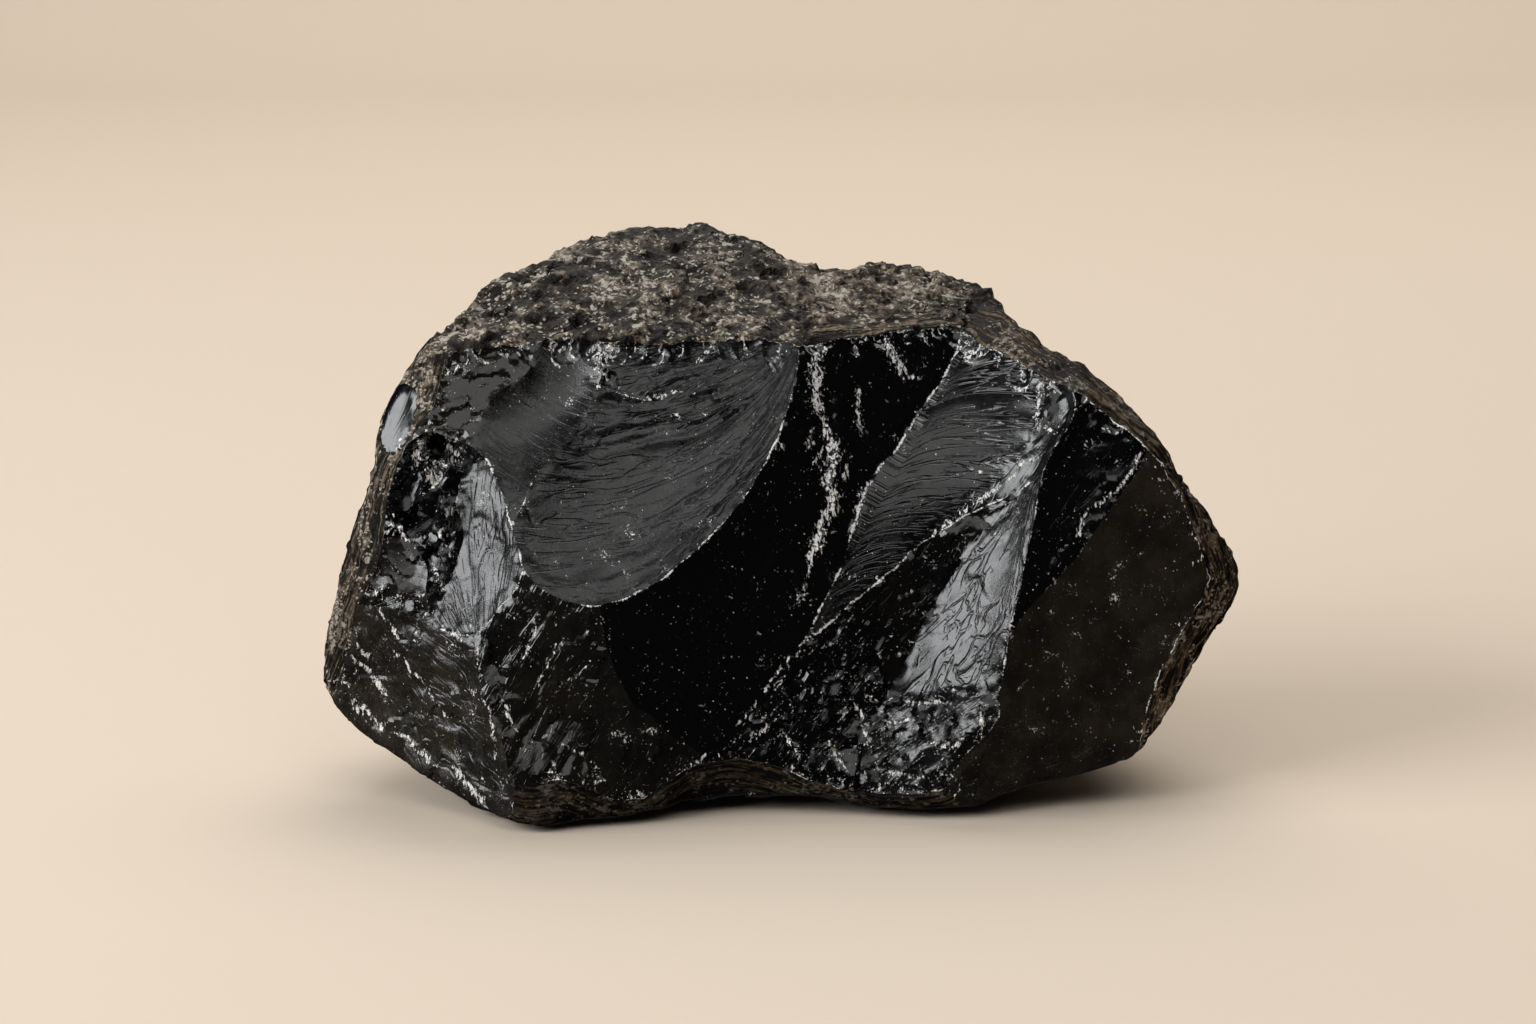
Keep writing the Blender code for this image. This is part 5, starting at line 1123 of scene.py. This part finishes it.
# ---------------------------------------------------------------- material
class Nodes:
    """A short hand for shader nodes."""

    def __init__(self, tree):
        self.tree = tree

    def new(self, kind, **values):
        node = self.tree.nodes.new(kind)
        for key, value in values.items():
            setattr(node, key, value)
        return node

    def put(self, socket, value):
        if hasattr(value, "is_output"):
            self.tree.links.new(value, socket)
        else:
            socket.default_value = value

    def math(self, operation, a, b=0.0, c=0.0, clamp=False):
        node = self.new("ShaderNodeMath", operation=operation, use_clamp=clamp)
        for socket, value in zip(node.inputs, (a, b, c)):
            self.put(socket, value)
        return node.outputs[0]

    def ramp(self, value, low, high, out_low=0.0, out_high=1.0):
        node = self.new("ShaderNodeMapRange", interpolation_type="SMOOTHSTEP")
        for name, v in (("Value", value), ("From Min", low), ("From Max", high), ("To Min", out_low), ("To Max", out_high)):
            self.put(node.inputs[name], v)
        return node.outputs["Result"]

    def scaled(self, vector, scale):
        node = self.new("ShaderNodeVectorMath", operation="MULTIPLY")
        self.put(node.inputs[0], vector)
        self.put(node.inputs[1], scale)
        return node.outputs[0]

    def noise(self, vector, scale, detail=2.0, rough=0.5, distortion=0.0):
        node = self.new("ShaderNodeTexNoise")
        self.put(node.inputs["Vector"], vector)
        self.put(node.inputs["Scale"], scale)
        self.put(node.inputs["Detail"], detail)
        self.put(node.inputs["Roughness"], rough)
        self.put(node.inputs["Distortion"], distortion)
        return node.outputs["Fac"]

    def cells(self, vector, scale, feature="F1"):
        node = self.new("ShaderNodeTexVoronoi", feature=feature)
        self.put(node.inputs["Vector"], vector)
        self.put(node.inputs["Scale"], scale)
        return node.outputs["Distance"]

    def grains(self, vector, scale):
        """A chance value for each grain."""
        node = self.new("ShaderNodeTexVoronoi", feature="F1")
        self.put(node.inputs["Vector"], vector)
        self.put(node.inputs["Scale"], scale)
        split = self.new("ShaderNodeSeparateColor")
        self.put(split.inputs[0], node.outputs["Color"])
        return split.outputs[0], node.outputs["Distance"]

    def bent(self, vector, scale, amount):
        """The vector pushed about by noise."""
        noise = self.new("ShaderNodeTexNoise")
        self.put(noise.inputs["Vector"], vector)
        self.put(noise.inputs["Scale"], scale)
        self.put(noise.inputs["Detail"], 1.0)
        push = self.new("ShaderNodeVectorMath", operation="MULTIPLY_ADD")
        self.put(push.inputs[0], noise.outputs["Color"])
        self.put(push.inputs[1], (amount, amount, amount))
        self.put(push.inputs[2], vector)
        return push.outputs[0]

    def mix(self, factor, a, b):
        node = self.new("ShaderNodeMix", data_type="RGBA")
        self.put(node.inputs["Factor"], factor)
        self.put(node.inputs[6], a)
        self.put(node.inputs[7], b)
        return node.outputs[2]

    def lerp(self, factor, a, b):
        node = self.new("ShaderNodeMix", data_type="FLOAT")
        self.put(node.inputs["Factor"], factor)
        self.put(node.inputs[2], a)
        self.put(node.inputs[3], b)
        return node.outputs[0]

    def attribute(self, name):
        return self.new("ShaderNodeAttribute", attribute_type="GEOMETRY", attribute_name=name)


def new_material(name):
    mat = bpy.data.materials.new(name)
    mat.use_nodes = True
    n = Nodes(mat.node_tree)
    place = n.scaled(n.new("ShaderNodeTexCoord").outputs["Object"], (1000, 1000, 1000))   # mm
    split = n.new("ShaderNodeSeparateColor")
    finish = n.attribute("finish")
    n.put(split.inputs[0], finish.outputs["Color"])
    return mat, n, mat.node_tree.nodes["Principled BSDF"], place, n.attribute("grain").outputs["Vector"], split.outputs, finish.outputs["Alpha"]


def add_relief(n, bsdf, height):
    """Fine relief of the surface; the height is in mm."""
    bump = n.new("ShaderNodeBump")
    bump.inputs["Strength"].default_value = 1.0
    bump.inputs["Distance"].default_value = 0.001
    n.put(bump.inputs["Height"], height)
    n.put(bsdf.inputs["Normal"], bump.outputs[0])


def make_glass():
    mat, n, bsdf, place, grain, (_, brown_and_floor_reflection, crush), rough = new_material("obsidian_glass")
    band = n.attribute("band").outputs["Fac"]
    edge = n.attribute("edge").outputs["Fac"]
    bruise = n.attribute("bruise").outputs["Fac"]

    # crushed white glass: broken lines on the arrises, partly bruised glass and partly a painted highlight along the
    # ridges; streaks of crumbs, flecks along the grain, and specks
    broad = n.noise(place, 0.30, 2.0)
    fine = n.noise(place, 1.9, 3.0, 0.6)
    gravel = n.noise(place, 4.6, 2.0, 0.6)
    sand = n.noise(n.bent(place, 1.6, 0.6), 2.3, 4.0, 0.72)
    ridge = n.ramp(edge, 0.0, 0.42, 1.0, 0.0)
    # The lines on the arrises: partly bruised glass, partly a painted highlight along the ridges.
    ridge_bruise_and_highlight = n.math("ADD", n.math("MULTIPLY", n.math("SUBTRACT", ridge, 1.0), 0.26), n.math("MULTIPLY", n.math("SUBTRACT", broad, 0.5), 0.9))
    ridge_bruise_and_highlight = n.ramp(n.math("ADD", sand, ridge_bruise_and_highlight), 0.495, 0.52)
    shards = n.noise(n.bent(n.scaled(place, (1.5, 1.5, 0.62)), 1.0, 0.6), 1.25, 5.0, 0.74)
    streak = n.ramp(n.math("ADD", shards, n.math("MULTIPLY", n.math("SUBTRACT", bruise, 1.0), 0.32)), 0.452, 0.472)
    along = n.noise(n.scaled(grain, (2.2, 0.42, 1.0)), 1.0, 3.0, 0.65)
    patch = n.ramp(n.math("ADD", n.math("MULTIPLY", crush, 0.10), n.math("MULTIPLY", n.math("ADD", along, sand), 0.5)), 0.655, 0.68)
    crumbs = n.math("SUBTRACT", 1.0, n.ramp(n.cells(place, 0.8), 0.05, 0.10))
    crumbs = n.math("MULTIPLY", crumbs, n.ramp(n.noise(place, 0.16, 1.0), 0.46, 0.62))
    dust = n.math("SUBTRACT", 1.0, n.ramp(n.cells(place, 1.5), 0.04, 0.10))
    dust = n.math("MULTIPLY", dust, n.ramp(fine, 0.50, 0.64))
    white = n.math("MAXIMUM", n.math("MAXIMUM", ridge_bruise_and_highlight, streak), n.math("MAXIMUM", patch, n.math("MAXIMUM", crumbs, dust)))

    # Brown on the glass: a painted reflection of the warm floor, strongest on the faces that look down at it, made
    # patchy by a slow noise.
    film = n.ramp(n.noise(place, 0.12, 3.0, 0.55), 0.3, 0.75)
    glass = n.mix(n.math("MULTIPLY", brown_and_floor_reflection, n.math("ADD", 0.25, n.math("MULTIPLY", film, 0.85))), (0.0014, 0.0015, 0.0017, 1), (0.022, 0.0175, 0.0115, 1))
    frost = n.math("MULTIPLY", rough, n.ramp(n.math("ADD", sand, n.math("MULTIPLY", broad, 0.5)), 0.70, 0.92, 0.0, 1.0), clamp=True)
    glass = n.mix(frost, glass, (0.045, 0.045, 0.046, 1))
    # White of the crushed glass, also used for the painted highlight along the ridges.
    chalk_and_ridge_highlight = n.mix(n.ramp(gravel, 0.30, 0.62), (0.34, 0.34, 0.34, 1), (0.95, 0.95, 0.93, 1))
    n.put(bsdf.inputs["Base Color"], n.mix(white, glass, chalk_and_ridge_highlight))
    smear = n.noise(place, 0.35, 3.0, 0.6)
    gloss = n.math("ADD", n.math("MULTIPLY", rough, 0.34), n.ramp(smear, 0.3, 0.7, 0.07, 0.15))
    n.put(bsdf.inputs["Roughness"], n.lerp(white, gloss, 0.42))
    bsdf.inputs["IOR"].default_value = 1.5

    # hackle: thin dark steps that wander along the grain, over a slow swell
    wander = n.noise(n.scaled(grain, (0.30, 0.055, 1.0)), 1.0, 2.5, 0.5, 0.5)
    swell = n.noise(n.scaled(grain, (0.30, 0.06, 1.0)), 1.0, 1.0, 0.4)
    scale = n.scaled(n.bent(n.scaled(grain, (0.52, 0.085, 1.0)), 1.3, 0.55), (1.0, 1.0, 1.0))
    scales = n.cells(scale, 1.0, "DISTANCE_TO_EDGE")
    broken = n.ramp(n.noise(grain, 0.35, 2.0), 0.42, 0.54)
    crack = n.ramp(n.math("ABSOLUTE", n.math("SUBTRACT", wander, 0.52)), 0.0, 0.030)
    crack = n.math("MINIMUM", crack, n.ramp(n.math("ABSOLUTE", n.math("SUBTRACT", wander, 0.42)), 0.0, 0.026))
    crack = n.math("MINIMUM", crack, n.math("MAXIMUM", n.ramp(scales, 0.0, 0.055, 0.45, 1.0), broken))
    relief = n.math("MULTIPLY", n.math("ADD", n.math("MULTIPLY", crack, 0.115), n.math("MULTIPLY", swell, 0.08)), band)
    relief = n.math("ADD", relief, n.math("MULTIPLY", n.math("ADD", gravel, n.math("MULTIPLY", fine, 1.5)), n.math("MULTIPLY", rough, 0.060)))
    relief = n.math("ADD", relief, n.math("MULTIPLY", sand, n.math("MULTIPLY", crush, 0.05)))
    relief = n.math("ADD", relief, n.math("MULTIPLY", white, n.math("MULTIPLY", gravel, 0.12)))
    add_relief(n, bsdf, relief)
    return mat


def make_rind():
    mat, n, bsdf, place, grain, (_, brown_and_floor_reflection, crush), rough = new_material("obsidian_rind")
    band = n.attribute("band").outputs["Fac"]
    relief_shade_and_tone = n.attribute("relief_shade_and_tone").outputs["Fac"]
    bent = n.bent(place, 1.0, 0.35)
    grit = n.noise(bent, 0.95, 2.5, 0.62)
    blobs = n.noise(n.bent(place, 0.5, 1.5), 0.34, 2.0, 0.5)
    body = n.noise(bent, 0.75, 2.0, 0.55)
    patchy = n.noise(n.bent(place, 0.15, 4.0), 0.10, 3.0, 0.62)
    lying = n.bent(n.scaled(place, (0.85, 0.85, 1.15)), 0.9, 0.7)
    coarse, coarse_off = n.grains(lying, 1.05)
    small, small_off = n.grains(lying, 2.5)
    tone = n.math("ADD", n.math("MULTIPLY", grit, 0.40), n.math("ADD", n.math("MULTIPLY", coarse, 0.13), n.math("MULTIPLY", blobs, 0.48)))
    tone = n.math("ADD", tone, n.math("ADD", n.math("MULTIPLY", small, 0.06), 0.005))
    # Painted shade: the rind is darker in the dips of its relief and lighter on its humps.
    tone = n.math("ADD", tone, n.math("MULTIPLY", relief_shade_and_tone, 0.080))
    tone = n.math("ADD", tone, n.math("MULTIPLY", n.math("SUBTRACT", patchy, 0.5), 0.60))
    level = n.ramp(tone, 0.500, 0.730)
    stone = n.mix(level, (0.0100, 0.0083, 0.0065, 1), (0.222, 0.186, 0.146, 1))
    brown = n.mix(level, (0.0080, 0.0050, 0.0026, 1), (0.120, 0.078, 0.041, 1))
    stone = n.mix(n.math("MULTIPLY", brown_and_floor_reflection, n.ramp(n.noise(place, 0.07, 2.0), 0.25, 0.75, 0.5, 1.0)), stone, brown)
    # layered marks: tan strands and dark grooves
    lines = n.noise(n.scaled(grain, (2.3, 0.105, 1.0)), 1.0, 2.0, 0.55, 0.4)
    wide = n.noise(n.scaled(grain, (0.50, 0.040, 2.0)), 1.0, 2.0, 0.5, 0.2)
    both = n.math("ADD", n.math("MULTIPLY", lines, 0.70), n.math("MULTIPLY", wide, 0.30))
    light = n.math("MULTIPLY", band, n.ramp(both, 0.520, 0.545))
    dark = n.math("MULTIPLY", band, n.ramp(both, 0.490, 0.455))
    stone = n.mix(n.math("MULTIPLY", light, n.ramp(grit, 0.38, 0.60, 0.30, 0.85)), stone, n.mix(brown_and_floor_reflection, (0.200, 0.172, 0.138, 1), (0.265, 0.182, 0.106, 1)))
    stone = n.mix(n.math("MULTIPLY", dark, 0.94), stone, (0.0075, 0.0055, 0.0038, 1))
    # pale flecks in clusters, partly the rind's own grains and partly painted glints; and painted shade in dark pits,
    # which the relief also sinks
    flake = n.noise(n.bent(place, 2.0, 0.5), 1.4, 2.5, 0.70)
    scaly = n.ramp(n.math("ADD", coarse, n.math("MULTIPLY", n.math("ADD", blobs, patchy), 0.75)), 1.73, 1.76)
    fleck_and_glint = n.ramp(n.math("ADD", flake, n.math("ADD", n.math("MULTIPLY", relief_shade_and_tone, 0.012), n.math("MULTIPLY", n.math("ADD", blobs, patchy), 0.21))), 0.885, 0.910)
    tiny = n.ramp(n.math("ADD", small, n.math("MULTIPLY", n.math("ADD", blobs, patchy), 0.90)), 1.79, 1.83)
    fleck_and_glint = n.math("MAXIMUM", n.math("MULTIPLY", tiny, 0.9), n.math("MAXIMUM", fleck_and_glint, n.math("MULTIPLY", scaly, 0.7)))
    # Pale flecks: partly the rind's own grains, partly painted glints, a little more of them on the humps.
    stone = n.mix(n.math("MULTIPLY", fleck_and_glint, 0.85), stone, (0.48, 0.445, 0.385, 1))
    # Painted shade: the rind is darkened in its pits, where the relief dips.
    pit_shade = n.ramp(n.noise(bent, 0.70, 3.0, 0.65), 0.415, 0.36)
    stone = n.mix(n.math("MULTIPLY", pit_shade, 0.85), stone, (0.0085, 0.0075, 0.0065, 1))
    stone = n.mix(n.math("MULTIPLY", rough, 0.85), stone, (0.004, 0.0033, 0.0026, 1))
    n.put(bsdf.inputs["Base Color"], stone)
    bsdf.inputs["Roughness"].default_value = 0.50
    bsdf.inputs["Specular IOR Level"].default_value = 0.12
    relief = n.math("ADD", n.math("MULTIPLY", body, 0.75), n.math("SUBTRACT", n.math("MULTIPLY", coarse, 0.06), n.math("ADD", n.math("MULTIPLY", coarse_off, 0.18), n.math("MULTIPLY", small_off, 0.03))))
    relief = n.math("ADD", relief, n.math("MULTIPLY", fleck_and_glint, 0.07))
    relief = n.math("ADD", relief, n.math("MULTIPLY", pit_shade, -0.25))
    relief = n.math("ADD", n.math("MULTIPLY", relief, n.math("SUBTRACT", 1.0, n.math("MULTIPLY", band, 0.55))), n.math("MULTIPLY", both, n.math("MULTIPLY", band, 1.3)))
    add_relief(n, bsdf, relief)
    return mat


# ---------------------------------------------------------------- stage, light, camera
def to_world(p):
    return Vector(((p[0] - MIDDLE[0]) * SCALE, (p[1] - MIDDLE[1]) * SCALE, (p[2] - FLOOR) * SCALE)) / 1000.0


def make_stage():
    mesh = bpy.data.meshes.new("floor")
    # a floor that turns up into a wall far behind
    rows = [(-3.0, 0.0), (1.2, 0.0)]
    rows += [(1.2 + 0.35 * math.sin(a), 0.35 - 0.35 * math.cos(a)) for a in np.linspace(0.12, math.pi / 2, 12)]
    rows += [(1.55, 3.0)]
    verts, polys = [], []
    for y, z in rows:
        verts += [(-4.0, y, z), (4.0, y, z)]
    for k in range(len(rows) - 1):
        polys.append((2 * k, 2 * k + 1, 2 * k + 3, 2 * k + 2))
    mesh.from_pydata(verts, [], polys)
    mesh.shade_smooth()
    floor = bpy.data.objects.new("floor", mesh)
    bpy.context.scene.collection.objects.link(floor)
    mat = bpy.data.materials.new("floor")
    mat.use_nodes = True
    bsdf = mat.node_tree.nodes["Principled BSDF"]
    bsdf.inputs["Base Color"].default_value = (0.70, 0.60, 0.492, 1)
    bsdf.inputs["Roughness"].default_value = 0.9
    bsdf.inputs["Specular IOR Level"].default_value = 0.1
    mesh.materials.append(mat)
    floor.visible_glossy = False    # the glass mirrors the dark room, not the floor


def area_light(name, place, target, size, radiance, colour):
    light = bpy.data.lights.new(name, "AREA")
    light.shape = "RECTANGLE"
    light.size, light.size_y = size
    light.energy = radiance * math.pi * size[0] * size[1]
    light.color = colour
    obj = bpy.data.objects.new(name, light)
    bpy.context.scene.collection.objects.link(obj)
    obj.location = place
    obj.rotation_euler = (Vector(target) - Vector(place)).to_track_quat("-Z", "Y").to_euler()
    return obj


def make_light():
    area_light("key", (-1.10, -0.54, 0.64), (0, 0, 0.045), (1.0, 0.60), 9.0, (0.97, 0.985, 1.0))
    area_light("overhead", (-0.1, -0.82, 1.20), (0, 0, 0.03), (1.5, 1.0), 1.50, (1.0, 0.99, 0.97))
    area_light("top", (0.0, 0.45, 1.35), (0, 0, 0.03), (1.2, 0.5), 2.3, (1.0, 0.99, 0.97))
    area_light("back_top", (0.1, 1.1, 1.35), (0, 0.9, 0.0), (2.4, 0.9), 2.5, (1.0, 0.98, 0.94))
    world = bpy.data.worlds.new("dim_room")
    world.use_nodes = True
    world.node_tree.nodes["Background"].inputs[0].default_value = (0.02, 0.02, 0.02, 1)
    bpy.context.scene.world = world


def make_camera():
    cam = bpy.data.cameras.new("camera")
    cam.sensor_width = 36.0
    cam.lens = GRID * DIST * 36.0 / 1536.0
    cam.clip_start = 0.01
    cam.clip_end = 50.0
    obj = bpy.data.objects.new("camera", cam)
    bpy.context.scene.collection.objects.link(obj)
    obj.location = to_world((0.0, -DIST * math.cos(TILT), DIST * math.sin(TILT)))
    obj.rotation_euler = (math.radians(90) - TILT, 0.0, 0.0)
    bpy.context.scene.camera = obj


def main():
    chunk = make_chunk()
    chunk.data.materials.append(make_glass())
    chunk.data.materials.append(make_rind())
    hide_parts("obsidian_chunk")
    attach(chunk, "root")
    make_stage()
    make_light()
    make_camera()
    bpy.context.scene.view_settings.view_transform = "Standard"


main()
